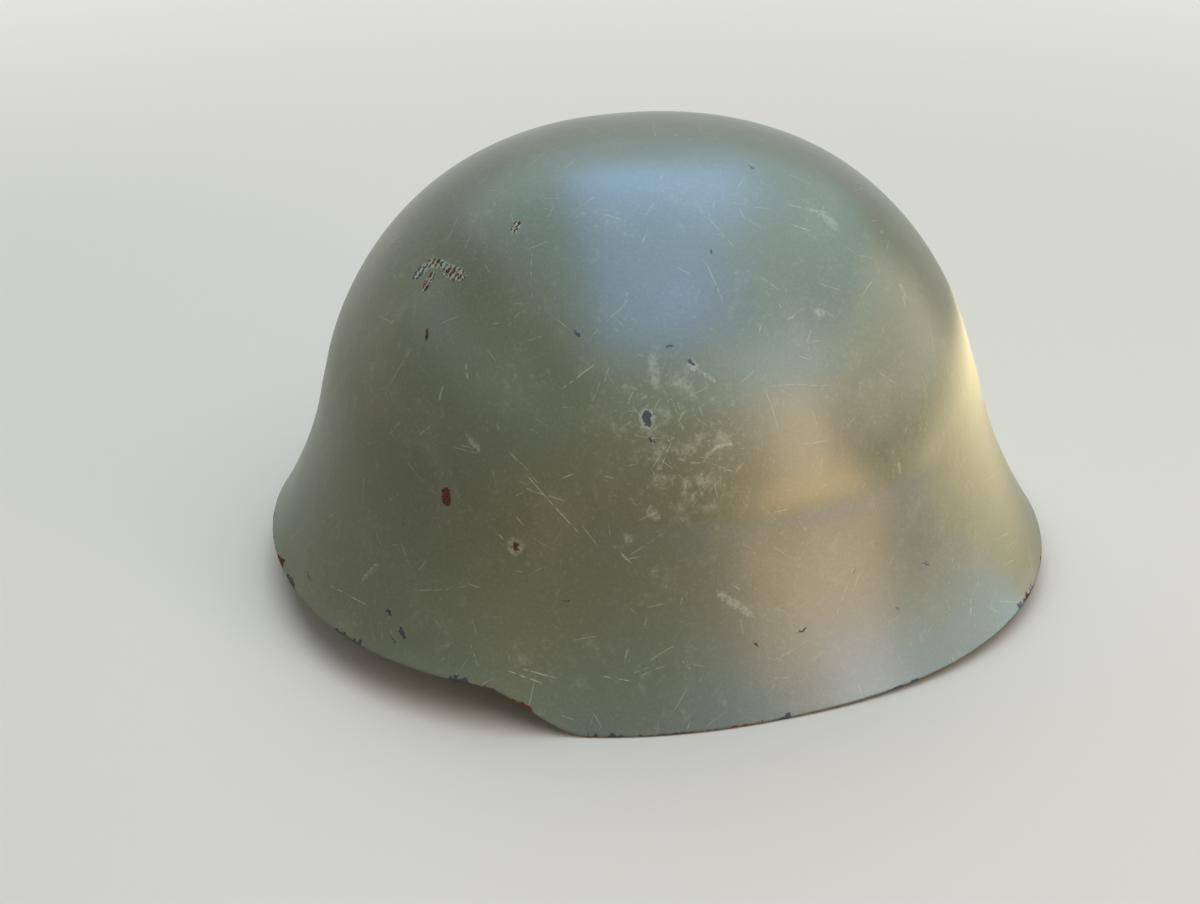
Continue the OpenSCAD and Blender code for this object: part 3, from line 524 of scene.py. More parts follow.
def olive_paint(name):
    """Semi-gloss olive enamel on steel, chipped, scratched, smeared and rubbed through at the rim."""
    paint = Finish(name, IOR=1.55)
    place = paint.place()
    ragged, shaken = paint.shifted(place, 0.0024, 900), paint.shifted(place, 0.0005, 160)
    cloud, blotch = paint.noise(place, 9), paint.noise(place, 40, 4.0, 0.65)
    grain = paint.noise(place, 1100)
    knocked = paint.fade(nearest_mark(paint, paint.shifted(place, 0.02, 60), KNOCKED), 1.2, 0.1)

    splash, speck = paint.noise(ragged, 150, 2.0, 0.6), paint.noise(place, 620, 3.0, 0.7)
    dust = paint.fade(speck, 0.54, 0.72) * (paint.fade(blotch, 0.42, 0.62, 0.04, 0.16) + knocked * 0.28)
    smear = paint.fade(splash + knocked * 0.1, 0.58, 0.78) * (0.16 + knocked * 0.24)
    smear = smear.most(paint.fade(nearest_mark(paint, ragged, SMEARS), 1.9, 0.0) * 0.42)
    smear = smear.most(paint.fade(nearest_mark(paint, ragged, HALOS), 1.5, 0.3) * 0.55)
    comb_zone = paint.fade(nearest_mark(paint, shaken, COMBED), 1.25, 0.85)
    smear = (smear * paint.fade(speck, 0.36, 0.6, 0.2, 1.0)).most(dust).most(comb_zone * 0.5)
    bent = paint.shifted(shaken, 0.009, 22)
    scratch = strokes(paint, bent, 45, 0.2, 12, 0.4) * 0.3
    scratch = scratch.most(strokes(paint, bent, 90, 0.19, 6, knocked * 0.5 + 0.35) * 0.32)
    scratch = scratch.most(strokes(paint, shaken, 170, 0.15, 3.2, knocked * 0.7 + 0.16) * 0.36)
    scratch = scratch.most(paint.fade(nearest_mark(paint, shaken, SCRATCHES), 1.4, 0.1) * 0.62)
    scratch = scratch * paint.fade(paint.noise(place, 420), 0.34, 0.56)
    worn = paint.coats(
        (71, 77, 52), (paint.fade(cloud, 0.35, 0.65), 83, 85, 54),
        (paint.fade(blotch, 0.5, 0.72) * 0.3, 106, 105, 82),
        (paint.fade(grain, 0.45, 0.75) * 0.22, 114, 114, 92),
        (smear, 158, 164, 144), (scratch, 172, 174, 152))

    across_comb = paint.vector("DOT_PRODUCT", [ragged, (0.42, 0.76, -0.50)], "Value")
    teeth = (across_comb * 4400).sine() + paint.noise(place, 700) - 0.5
    combed = comb_zone * paint.fade(teeth, -0.1, 0.35)
    flecks = strokes(paint, shaken, 42, 0.5, 1.5, 0.16)
    spots = paint.fade(nearest_mark(paint, ragged, RUST) + (speck - 0.5) * 3, 1.3, 0.7)
    bare = paint.fade(nearest_mark(paint, ragged, BARE) + (speck - 0.5) * 1.5, 1.2, 0.75)
    edge = rim_wear(paint)
    chips = bare.most(combed).most(flecks).most(spots).most(edge)
    rust = paint.fade(paint.noise(place, 105), 0.46, 0.56).most(spots) * (1 - bare)
    grime = paint.fade(paint.noise(place, 900), 0.4, 0.7) * 0.6
    colour = paint.blend(chips, worn, paint.coats((40, 43, 50), (grime, 40, 34, 34)))

    gloss = paint.fade(cloud, 0.3, 0.7, 0.29, 0.36) + smear * 0.3 + scratch * 0.2
    gloss = gloss * (1 - chips) + chips * 0.6
    drum = paint.bump(paint.noise(place, 18), 0.0018, 0.4)
    pitting = grain * 0.25 + paint.noise(place, 380) * 0.5 - edge
    paint.feed(Base_Color=colour, Roughness=gloss, Metallic=chips * 0.5,
               Normal=paint.bump(pitting, 0.00007, Normal=drum))
    matte = {"Base Color": paint.coats((96, 62, 47), (grime, 58, 44, 38)), "Roughness": 0.95,
             "Specular IOR Level": 0.0}
    rusted = paint.node("ShaderNodeBsdfPrincipled", matte)
    enamel = Value(paint, paint.shader.outputs[0])
    paint.show(paint.node("ShaderNodeMixShader", [chips * rust, enamel, rusted]))
    return paint


def liner_resin():
    """Moulded cloth and resin under matte, pebbled paint, rubbed smooth where it touches the steel."""
    resin = Finish("liner_resin", IOR=1.45)
    place = resin.place()
    cloud, grit = resin.noise(place, 14, 4.0), resin.noise(place, 800, 3.0, 0.6)
    side = resin.node("ShaderNodeSeparateXYZ", [place])
    weave = ((side * 5200).sine() * 0.5 + 0.5) * ((side.twin("Z") * 5200).sine() * 0.5 + 0.5)
    rubbed = resin.fade(resin.noise(place, 26, 6.0, 0.7), 0.57, 0.72)
    hair_turn = (0.5, 1.1, 0.2)
    line = abs(resin.noise(resin.turned(place, hair_turn, (1.0, 1.0, 0.22)), 100, 1.0) - 0.5)
    broken = resin.noise(resin.turned(place, hair_turn, (1.0, 1.0, 0.5)), 170)
    hair = resin.fade(line, 0.004, 0.0) * resin.fade(broken, 0.56, 0.63)
    edge = resin.fade(resin.strip()[1] + resin.noise(place, 300, 3.0) * 0.0022, 0.0026, 0.0011)
    colour = resin.coats(
        (74, 76, 50), (resin.fade(cloud, 0.3, 0.7), 88, 86, 58),
        (resin.fade(grit, 0.55, 0.8) * 0.35, 108, 104, 78), (rubbed * 0.4, 104, 92, 62),
        (hair * 0.5, 128, 120, 92), (edge * 0.7, 128, 104, 66))
    return resin.feed(Base_Color=colour, Roughness=resin.fade(rubbed, 0.0, 1.0, 0.78, 0.5),
                      Normal=resin.bump(grit * 0.7 + weave * 0.25 - hair * 0.2, 0.00016, 0.9))


def webbing(name, width):
    """Herringbone cotton tape: chevrons between woven edges, soiled and a little frayed."""
    tape = Finish(name, IOR=1.45, Sheen_Weight=0.35, Sheen_Roughness=0.5)
    along, across = tape.strip()
    place = tape.place()
    u, v = along / (YARN * MM), across / (YARN * MM)
    zigzag = abs((v / 6 + 100.25).part() - 0.5) * 6
    twill = ((u + zigzag) * FULL_TURN).sine() * 0.5 + 0.5
    yarn = abs((v * (FULL_TURN / 2)).sine())
    edge = tape.fade(abs(across), (width / 2 - 2.0) * MM, (width / 2 - 1.2) * MM)
    threads = twill * (1 - edge) + abs((u * (FULL_TURN / 2)).sine()) * yarn * edge
    fuzz = tape.noise(place, 2600)
    soil = tape.noise(place, 45, 5.0, 0.65)
    colour = tape.coats(
        (92, 86, 56), (threads * 0.75 + fuzz * 0.2, 148, 140, 100),
        (tape.fade(soil, 0.48, 0.72) * 0.45, 84, 70, 46), (tape.fade(soil, 0.42, 0.25) * 0.3, 168, 158, 124))
    return tape.feed(Base_Color=colour, Roughness=tape.fade(soil, 0.3, 0.7, 0.95, 0.82),
                     Normal=tape.bump(threads * (0.5 + yarn * 0.5) + fuzz * 0.3, 0.00022))


def cotton_lace():
    lace = Finish("lace", IOR=1.45, Sheen_Weight=0.4)
    along, turn = lace.strip()
    place = lace.place()
    strands = ((along * 5200 + turn * 2400).sine() * (along * 5200 - turn * 2400).sine()) * 0.5 + 0.5
    colour = lace.coats((128, 117, 84), (strands, 186, 174, 134),
                        (lace.fade(lace.noise(place, 90, 4.0), 0.5, 0.75) * 0.5, 96, 82, 56))
    return lace.feed(Base_Color=colour, Roughness=lace.fade(strands, 0.0, 1.0, 0.95, 0.85),
                     Normal=lace.bump(strands + lace.noise(place, 3000) * 0.3, 0.00018))


def leather(name, width, dark, light):
    """Vegetable-tanned strap leather: fine grain, creases, dark worked edges and pale wear."""
    hide = Finish(name, IOR=1.5)
    place = hide.place()
    folds = hide.shifted(place, 0.0022, 210)
    grain, pores = hide.cells(folds, 1500, feature="SMOOTH_F1"), hide.cells(place, 2600)
    crease = abs(hide.noise(hide.turned(folds, (0, 0, 0), (1.0, 1.0, 2.6)), 95, 4.0, 0.6) - 0.5)
    creases = hide.fade(crease, 0.022, 0.0)
    worn = hide.noise(place, 48, 6.0, 0.7)
    scuffs = hide.fade(hide.noise(place, 170, 4.0, 0.6), 0.56, 0.72)
    edge = hide.fade(abs(hide.strip()[1]), (width / 2 - 0.9) * MM, (width / 2 - 0.25) * MM)
    colour = hide.coats(dark, (hide.fade(worn, 0.35, 0.7), *light), (scuffs * 0.35, 150, 108, 70),
                        (edge * 0.65, 38, 24, 16), (creases * 0.5, 44, 28, 18))
    return hide.feed(Base_Color=colour, Roughness=hide.fade(worn, 0.3, 0.75, 0.44, 0.66) + creases * 0.15,
                     Normal=hide.bump(grain * 0.8 - creases * 0.9 + pores * 0.2, 0.0002, 0.8))


def metal(name, base, stained, roughness, stain_share, paint=None):
    """Bare or blackened metal with stains, and with paint left on it where a paint colour is given."""
    bare = Finish(name, IOR=1.5)
    place = bare.place()
    stain = bare.fade(bare.noise(place, 260, 5.0, 0.65), stain_share, stain_share + 0.14)
    drawn = bare.noise(bare.turned(place, (0.4, 0.2, 0), (1.0, 1.0, 0.12)), 2400)
    colour = bare.coats(base, (stain, *stained))
    shine, height = 1.0 - stain * 0.7, drawn * 0.3 - stain * 0.5
    rough = bare.fade(drawn, 0.3, 0.7, roughness - 0.06, roughness + 0.1) + stain * 0.25
    if paint is not None:
        coat = bare.fade(bare.noise(place, 210, 5.0, 0.7), 0.36, 0.44)
        colour, shine = bare.blend(coat, colour, tone(*paint)), shine * (1 - coat)
        rough, height = rough * (1 - coat) + coat * 0.5, height + coat * 0.8
    return bare.feed(Base_Color=colour, Metallic=shine, Roughness=rough,
                     Normal=bare.bump(height, 0.00006, 0.8))


# Steel shell and liner

def dents(t, s):
    """Very shallow unevenness of a pressed and knocked-about wall, from 0 to 0.3 mm."""
    wave = sin(3 * t + 40) * sin(210 * s + 20) + 0.7 * sin(7 * t + 160 * s) * sin(95 * s + 10)
    wave = wave + 0.5 * sin(11 * t - 220 * s + 60) * sin(180 * s / 2)
    return 0.15 + 0.068 * wave


def pressed_wall(flared, lift, outer, inner, columns, steps, edge):
    """Closed wall between two depths below the skin, its edge rounded over that height."""
    n, near = len(columns), 2 - edge / (BASE - lift - 10)
    wall, turning = steps[steps < near], 2 - 0.3 * (2 - near)
    lip = [(near, 0.0), (turning, 0.09), (2, 0.3), (2, 0.7), (turning, 0.91), (near, 1.0)]
    rows = [(s, outer) for s in wall] + [(s, outer + share * (inner - outer)) for s, share in lip]
    rows += [(s, inner) for s in wall[::-1]]
    rings = []
    for s, depth in rows:
        fall = ease(0, 0.12, s) * (1 - ease(1.9, 2.0, s)) * (flared > 0.5)
        rings.append(inset(columns, s, flared, lift, depth + dents(columns, s) * fall))
    rings = np.array(rings)
    run = np.cumsum(np.linalg.norm(np.diff(rings, axis=0), axis=2), axis=0)
    run = np.concatenate([np.zeros((1, n)), run])
    rim = [i for i, (s, depth) in enumerate(rows) if s == 2]
    up = np.abs(run - run[rim].mean(0))
    along = np.broadcast_to(columns / 360 * 760, up.shape)
    last = (len(rows) - 1) * n
    top, under = last + n, last + n + 1
    faces = tube_faces(len(rows), n)
    faces += [[top, (k + 1) % n, k] for k in range(n)]
    faces += [[under, last + k, last + (k + 1) % n] for k in range(n)]
    poles = [inset(0, 1e-4, flared, lift, depth).reshape(1, 3) for depth in (outer, inner)]
    uv = np.concatenate([np.stack([along.ravel(), up.ravel()], -1), [[0, 150], [0, 150]]])
    return np.concatenate([rings.reshape(-1, 3)] + poles), faces, uv


def wall_columns(count):
    """Angles round the helmet, closer together where the visor steps down."""
    fine = np.linspace(0, 360, 3601)[:-1]
    turn = np.degrees(np.arccos(cos(fine)))
    run = np.concatenate([[0], np.cumsum(1 + 1.6 * np.exp(-((turn - STEP_AT) / 9.0) ** 2))])
    return np.interp(np.arange(count) * run[-1] / count, run, np.append(fine, 360.0))


def wall_steps(dome, side):
    down = np.concatenate([np.linspace(0, 1, dome + 1)[1:] ** 0.9, 1 + np.linspace(0, 1, side + 1)[1:]])
    return np.concatenate([[0.004, 0.012], down])


def cut_round(made, at, axis, r, length):
    """Bores a round hole through a piece."""
    cutter_mesh = bpy.data.meshes.new("bore")
    points, faces = lathed([(r, -length), (r, length)], at, axis, 40)[:2]
    cutter_mesh.from_pydata(place_mm(points).reshape(-1, 3).tolist(), [], faces)
    cutter = bpy.data.objects.new("bore", cutter_mesh)
    bpy.context.scene.collection.objects.link(cutter)
    bore = made.modifiers.new("bore", "BOOLEAN")
    bore.operation, bore.solver, bore.object = "DIFFERENCE", "EXACT", cutter
    shaped = bpy.data.meshes.new_from_object(made.evaluated_get(bpy.context.evaluated_depsgraph_get()))
    made.modifiers.clear()
    made.data = shaped
    bpy.data.objects.remove(cutter)


# Measures of the suspension, the sweatband and the chinstrap, as the source has them
WEB_W, WEB_T, SEAT = 19, 1.2, 0.15
RIVET_Z, WASHER_OFF, WASHER_T, WASHER_LEAN, BAR_Z = 57, 1.4, 1.0, 8, 20.5
LACE_RING, LACE_Z, LACE_R = 34, 124, 1.3
HEAD_HALF_W, HEAD_HALF_L = 77.5, 97.5
SWEAT_T, SWEAT_H, SWEAT_Z, SWEAT_SPLIT, SWEAT_GAP, HEAD_Z = 1.6, 36, 60, 208, 6, 65.5
TAB_Z, TAB_OFF, TAB_W, TAB_T = 53, 1.5, 12, 1.4
NAPE_Z, NAPE_W = 40, 14
STUD_Z, STRAP_W, STRAP_T, STRAP_DROOP, BUCKLE_AT, STRAP_START = 24, 13, 1.8, 9, 215, 13.2
FOLD_BACK, KEEPER_W, EYELET_Z, EYELET_R = 1.75, 7, 62, 3.26
BAR_X = -(WASHER_T / 2) * cos(WASHER_LEAN) - BAR_Z * sin(WASHER_LEAN)
TAIL_X = BAR_X - 0.7 - WEB_T / 2
CLIP_X = liner_r(90, STUD_Z, LINER_IN) - 3.2 - 0.15 - 1.2
SHORT_OVER = STRAP_T / 2 + 0.2 + 1 + SEAT + STRAP_T / 2
TAIL_END = BUCKLE_AT + 24
WASHERS = {"front_left": 30, "side_left": 90, "back_left": 150, "back_right": 210, "side_right": 270,
           "front_right": 330}
UP = np.array([0, 0, 1.0])

# Finer measures that only this file has: the tape's yarn, the lace's braid, the stitches' seat and sizes
YARN, FULL_TURN = 1.15, 6.2832
BRAID_LOBES, BRAID_PITCH = 4, 5.0
STITCH_DIP = 0.1
HIDE_STITCH = {"pitch": 2.8, "length": 2.0, "r": 0.28}


class Stand:
    """Axes at a place: x along the outward vector, y level, z upwards."""

    def __init__(self, at, out):
        self.at, self.x = np.asarray(at, float), unit(out)
        self.y = unit(np.cross(UP, self.x))
        self.z = np.cross(self.x, self.y)

    def __call__(self, x, y, z):
        return self.at + x * self.x + y * self.y + z * self.z


def wall_stand(a, z):
    return Stand(liner_point(a, z, LINER_IN), liner_normal(a, z))


# Webbing suspension

FOLD_SAG = LACE_RING - math.sqrt(LACE_RING ** 2 - (WEB_W / 2) ** 2)
FOLD_MID = LACE_RING - FOLD_SAG / 2
FOLD_R = LACE_R + FOLD_SAG / 2 + 0.3 + WEB_T / 2


def strap_point(a, q):
    """Rising strap from the washer at q = 0 to the lace at q = 90."""
    foot = wall_stand(a, RIVET_Z)(BAR_X - WASHER_OFF, 0, BAR_Z + 2.6)
    foot_a = a + (math.degrees(math.atan2(foot[0], -foot[1])) - a + 900) % 360 - 180
    r = FOLD_MID + (math.hypot(foot[0], foot[1]) - FOLD_MID) * max(0.0, cos(q)) ** 0.95
    z = foot[2] + (LACE_Z + FOLD_R - foot[2]) * sin(q)
    return r * heading(foot_a + (a - foot_a) * ease(0, 90, q)) + z * UP


def strap_across(a, q):
    n = liner_normal(a, RIVET_Z)
    level, w = unit([n[0], n[1], 0]), ease(0, 60, q)
    mixed = unit(level * (1 - w) + heading(a) * w)
    return np.array([-mixed[1], mixed[0], 0])


def crown_strap(spot, a, cloth, thread):
    """One strap, from its fold over the lace down to a tail at the washer's bar, and the bar's own loop."""
    def folded(q):
        return strap_point(a, q) - (WEB_T + SEAT) / sin(q) * UP - 0.5 * heading(a)
    hang = wall_stand(a, RIVET_Z)
    hang.at = hang(-WASHER_OFF, 0, 0)
    main = [hang(TAIL_X, 0, z) for z in (1.6, 6, 11, 16, BAR_Z - 1.2, BAR_Z + 1.4)]
    across = [strap_across(a, 0)] * len(main)
    rise = [4, 9, 16, 24, 32, 40, 48, 56, 64, 72, 80, 88]
    main += [strap_point(a, q) for q in rise]
    across += [strap_across(a, q) for q in rise]
    main += [(FOLD_MID + FOLD_R * cos(q)) * heading(a) + (LACE_Z + FOLD_R * sin(q)) * UP
             for q in range(112, 289, 22)]
    main += [folded(q) for q in (70, 62, 55, 48)]
    across += [strap_across(a, 90)] * (len(main) - len(across))
    strip("crown_strap_cloth_" + spot, main, across, WEB_W, WEB_T, "liner", cloth, "webbing",
          "crown_strap_" + spot, step=1.6, bead=0.1, ripple=0.1)
    behind = [hang(TAIL_X + 1.12, 0, z) for z in (BAR_Z - 6.5, BAR_Z - 4.6)]
    behind += [hang(BAR_X + x, 0, BAR_Z + z)
               for x, z in ((0.15, -3.0), (1.1, -2.3), (1.35, -0.6), (1.35, 1.4))]
    behind += [strap_point(a, q) + 1.2 * hang.x for q in (2.5, 6, 9.5)]
    strip("bar_loop_" + spot, behind, strap_across(a, 0), WEB_W - 1, WEB_T - 0.2, "liner", cloth, "webbing",
          step=0.8, bead=0.05)
    spread = np.linspace(-7.5, 7.5, 5)[:, None]
    rows = [(strap_point(a, q) + spread * strap_across(a, q) - WEB_T / 2 * hang.x, -hang.x) for q in (6, 11)]
    rising = tangents(np.array([strap_point(a, q) for q in (58, 60, 62)]))[1]
    under = -np.cross(strap_across(a, 60), rising)
    under = under * np.sign(under @ -heading(a) + under @ -UP)
    rows += [(folded(q) + spread * strap_across(a, q) + WEB_T / 2 * under, under) for q in (50, 62)]
    stitches("strap_stitches_" + spot, rows, "liner", thread, "webbing")


def sweat_r(a):
    """Radius of the sweatband's middle: an oval that clears the head."""
    return 1 / np.sqrt((sin(a) / (HEAD_HALF_W + SWEAT_T)) ** 2 + (cos(a) / (HEAD_HALF_L + SWEAT_T)) ** 2)


def sweat_point(a):
    return heading(a) * np.asarray(sweat_r(a))[..., None]


def sweat_out(a):
    d = sweat_point(a + 1) - sweat_point(a - 1)
    return unit([d[1], -d[0], 0])


def headband_point(a):
    """The headband runs in to the sweatband's clips and out to the straps' tails, six times round."""
    w = ((1 + cos(6 * (a - 30))) / 2) ** 1.5
    near = sweat_r(a) - 2.2 * (HEAD_Z - SWEAT_Z - 3) / (SWEAT_H / 2 - 3) + 2 * SEAT + 0.7 + WEB_T / 2 + 0.35
    far = liner_r(a, RIVET_Z, LINER_IN) - (WASHER_OFF - TAIL_X + WEB_T + SEAT) - 0.8
    return heading(a) * (near * (1 - w) + far * w) + HEAD_Z * UP


def headband(cloth, thread):
    band = [headband_point(a) for a in np.arange(0, 360, 4)]
    strip("headband_cloth", band, UP, WEB_W, WEB_T, "liner", cloth, "webbing", "headband", step=1.6,
          closed=True, bead=0.1, ripple=0.06)
    rows = []
    for a in WASHERS.values():
        inward = -unit(heading(a))
        rows += [([headband_point(a + w) + dz * UP + inward * WEB_T / 2 for w, dz in seam], inward)
                 for seam in box_seam(4.6, (-7, 0, 7), 5)]
    stitches("headband_stitches", rows, "liner", thread, "webbing")


def nape_strap(cloth, thread):
    def at(a, extra=0.0):
        u = abs(a - 180) / 40
        depth = SEAT + WEB_T / 2 + 0.6 + 6 * (math.sin(math.pi * u) ** 2 if u < 1 else 0) + extra
        p = liner_point(a, NAPE_Z, LINER_IN + depth)
        return np.array([p[0], p[1], NAPE_Z])
    strip("nape_strap_cloth", [at(a) for a in np.arange(135, 225.1, 3)], UP, NAPE_W, WEB_T, "liner", cloth,
          "webbing", "nape_strap", bead=0.1)
    rows = []
    for side in (-1, 1):
        for turn in (136.6, 145.5):
            a = 180 + side * (turn - 180)
            rows.append((at(a, WEB_T / 2) + np.linspace(-5, 5, 4)[:, None] * UP, -heading(a)))
    stitches("nape_stitches", rows, "liner", thread, "webbing")


def crown_lace(cord):
    """The lace: a ring through the straps' folds, a knot at the back of it and two whipped tails."""
    turns = np.linspace(0, 360, 361)
    ring = LACE_RING * heading(turns) + (LACE_Z + 0.15 * sin(6 * turns))[:, None] * UP
    knot = LACE_RING * heading(180) + LACE_Z * UP
    u = np.linspace(0, 2 * np.pi, 121)
    trefoil = np.stack([(2 + np.cos(3 * u)) * np.cos(2 * u), np.sin(3 * u) * 1.1,
                        (2 + np.cos(3 * u)) * np.sin(2 * u)], -1) * 1.15
    shapes = [braided(ring, LACE_R, sides=20), braided(knot + trefoil, LACE_R - 0.15, 0.08)]
    for m in (-1, 1):
        tail = [knot + [m * (1.5 + 2.2 * i), -1.5 - 0.5 * i, -2 - 1.6 * i - 0.12 * i * i] for i in range(7)]
        fine, at = curve_through(tail, 0.4)
        whipping = 1 + 0.28 * np.exp(-((at - at[-1] + 2.2) / 1.1) ** 2)
        shapes.append(braided(fine, LACE_R, swell=whipping, capped=True))
    piece("knotted_lace", gathered(shapes), "liner", cord, "lace", "crown_lace")


# Leather sweatband: its section from the rolled hem at the foot to the folded top, as (out, up)
SWEAT_SECTION = [
    (-1.6, -16.6), (-1.25, -17.6), (-0.35, -17.95), (0.55, -17.4), (0.88, -16.2), (0.6, -15.0), (0.12, -14.1),
    (0.3, -12.6), (0, -8), (0, -3), (0, 3), (-0.6, 8), (-1.3, 13), (-1.75, 15.2), (-2.1, 17.3), (-2.6, 17.95),
    (-3.3, 17.95), (-3.75, 17.3), (-3.45, 15.2), (-2.9, 13), (-2.2, 8), (-1.6, 3), (-1.6, -3), (-1.6, -8),
    (-1.7, -12.6), (-1.35, -14.1), (-1.6, -15.2)]
HEM_SEAMS = [(-14.1, -1.42), (15.2, -3.5)]


def sweatband(hide, thread):
    outline = curve_through(SWEAT_SECTION, 0.7, True)[0]
    turns = np.linspace(SWEAT_SPLIT + SWEAT_GAP / 2, SWEAT_SPLIT + 360 - SWEAT_GAP / 2, 361)
    middle, out = sweat_point(turns), heading(turns)
    give = 0.22 * sin(6 * turns) + 0.12 * sin(17 * turns)
    rings = (middle[:, None] + out[:, None] * (outline[None, :, :1] + give[:, None, None])
             + (SWEAT_Z + outline[None, :, 1:]) * UP)
    uv = np.stack(np.broadcast_arrays(run_along(middle)[:, None], outline[None, :, 1]), -1)
    shape = rings, tube_faces(len(turns), len(outline), capped=True), uv
    piece("sweatband_leather", shape, "liner", hide, "leather", "sweatband")
    sewn = slice(2, 359, 3)
    rows = [(middle[sewn] + out[sewn] * (dr + give[sewn, None]) + (SWEAT_Z + dz) * UP, -out[sewn])
            for dz, dr in HEM_SEAMS]
    stitches("sweatband_stitches", rows, "liner", thread, "lace", 3.6, 2.5, 0.3)


def sweatband_tab(hide, thread):
    def at(a, extra=0.0):
        lift = 2 * SEAT + TAB_T / 2 + TAB_OFF * ease(SWEAT_SPLIT - 9, SWEAT_SPLIT - 2, a) + extra
        return sweat_point(a) + sweat_out(a) * lift + TAB_Z * UP

    def tip(u):
        return np.sqrt(np.clip(1 - (np.clip(u - 0.9, 0, 0.1) / 0.105) ** 2, 0.1, 1))
    turns = np.linspace(SWEAT_SPLIT - 14, SWEAT_SPLIT + 16, 21)
    strip("tab_leather", [at(a) for a in turns], UP, TAB_W, TAB_T, "liner", hide, "leather", "sweatband_tab",
          step=0.9, taper=tip)
    seam = np.array([at(a, TAB_T / 2) for a in np.linspace(SWEAT_SPLIT - 13.4, SWEAT_SPLIT - 9.6, 4)])
    rows = [(seam + dz * UP, sweat_out(SWEAT_SPLIT - 11)) for dz in (-4.4, 4.4)]
    stitches("tab_stitches", rows, "liner", thread, "lace", **HIDE_STITCH)


# Leather chinstrap

def in_loop(points):
    """Plane of the stowed strap to the design's axes."""
    x, y, z = np.atleast_2d(np.asarray(points, float)).T
    return np.stack([x, y * cos(STRAP_DROOP) + z * sin(STRAP_DROOP),
                     -y * sin(STRAP_DROOP) + z * cos(STRAP_DROOP) + STUD_Z], -1)


ACROSS = np.array([0, sin(STRAP_DROOP), cos(STRAP_DROOP)])


def loop_plan(a, out):
    """The strap's way round the nape, straight where the buckle is."""
    def curved(b):
        depth = 3 + 4 * ease(8, 45, b - 90 if b < 180 else 270 - b)
        return heading(b) * (liner_r(b, STUD_Z - 2, LINER_IN) - depth + out)
    if abs(a - BUCKLE_AT) > 11:
        return curved(a)
    w = (a - BUCKLE_AT + 11) / 22
    return curved(BUCKLE_AT - 11) * (1 - w) + curved(BUCKLE_AT + 11) * w


def loop_out(a):
    d = loop_plan(a + 0.5, 0) - loop_plan(a - 0.5, 0)
    return unit([d[1], -d[0], 0])


def strap_fold(side):
    """Plan of the strap's end: laid back under itself, then round the bar of its clip."""
    x, y, r = CLIP_X + 0.6, STRAP_START, 1.62
    plan = [(x - FOLD_BACK, y + d) for d in (13, 10, 6.5, 3)] + [(x - r, y + 0.6), (x - r, y - 0.5)]
    plan += [(x + r * cos(q), y - 0.5 + r * sin(q)) for q in (210, 240, 270, 300, 330)]
    plan += [(x + r, y - 0.5), (x + 1.55, y + 1.0)]
    return [np.array([side * p, q, 0]) for p, q in plan]


def chinstrap(hide, thread):
    first = 90 + math.degrees(math.atan2(STRAP_START + 8, CLIP_X))
    long_path = strap_fold(1) + [loop_plan(a, 0) for a in np.arange(first, TAIL_END, 2.2)]
    short_path = [loop_plan(a, SHORT_OVER * (1 - ease(TAIL_END + 4, TAIL_END + 20, a)))
                  for a in np.arange(BUCKLE_AT - 4, 360 - first, 2.2)] + strap_fold(-1)[::-1]
    for part, path in (("long", long_path), ("short", short_path)):
        strip("strap_leather_" + part, in_loop(path), ACROSS, STRAP_W, STRAP_T, "chinstrap", hide, "leather",
              "chinstrap_" + part, step=1.1)
    face, ends, rows = CLIP_X + 0.6 - FOLD_BACK - STRAP_T / 2, (STRAP_START + 4.5, STRAP_START + 11), []
    for side in (-1, 1):
        rows += [(in_loop([[side * face, y, w] for w, y in seam]), [-side, 0, 0])
                 for seam in box_seam(4.6, ends, 4)]
    stitches("strap_stitches", rows, "chinstrap", thread, "lace", **HIDE_STITCH)


def chinstrap_keeper(hide):
    """A narrow loop of leather that goes round both parts of the strap."""
    turn, r = TAIL_END - 7, 1.0
    half_x, half_z = (SHORT_OVER + STRAP_T + 0.6) / 2 + 0.6, (STRAP_W + 0.6) / 2 + 0.6
    out, along = loop_out(turn), np.cross(UP, loop_out(turn))
    middle = loop_plan(turn, 0) + out * SHORT_OVER / 2
    path = []
    for sx, sz, start in ((1, 1, 0), (-1, 1, 90), (-1, -1, 180), (1, -1, 270)):
        for q in (0, 30, 60, 90):
            x, z = sx * (half_x - r) + r * cos(start + q), sz * (half_z - r) + r * sin(start + q)
            path.append(middle + out * x + UP * z)
    across = (in_loop(along) - in_loop([0, 0, 0]))[0]
    strip("keeper_leather", in_loop(path), across, KEEPER_W, 1.2, "chinstrap", hide, "leather",
          "chinstrap_keeper", step=0.8, closed=True)


def welds(plate):
    """Four weld nuggets on each of the plates that hold the wire loops."""
    profile = [(0.4, 0.3), (2.3, 0.2), (2.2, -1.2), (2.5, -2.0), (2.45, -2.3), (1.9, -2.36), (1.3, -2.28),
               (0.3, -2.24)]
    nuggets = []
    for t in (-101, 101):
        s = skin_s(t, 22)
        stand = Stand(inset(t, s, 1, 0, SHELL_WALL), skin_normal(t, s))
        nuggets += [lathed(profile, stand(0, y, z), stand.x, 20) for y in (-8, 8) for z in (-3.6, 3.6)]
    piece("loop_welds", gathered(nuggets), "shell", plate, "loop_steel")


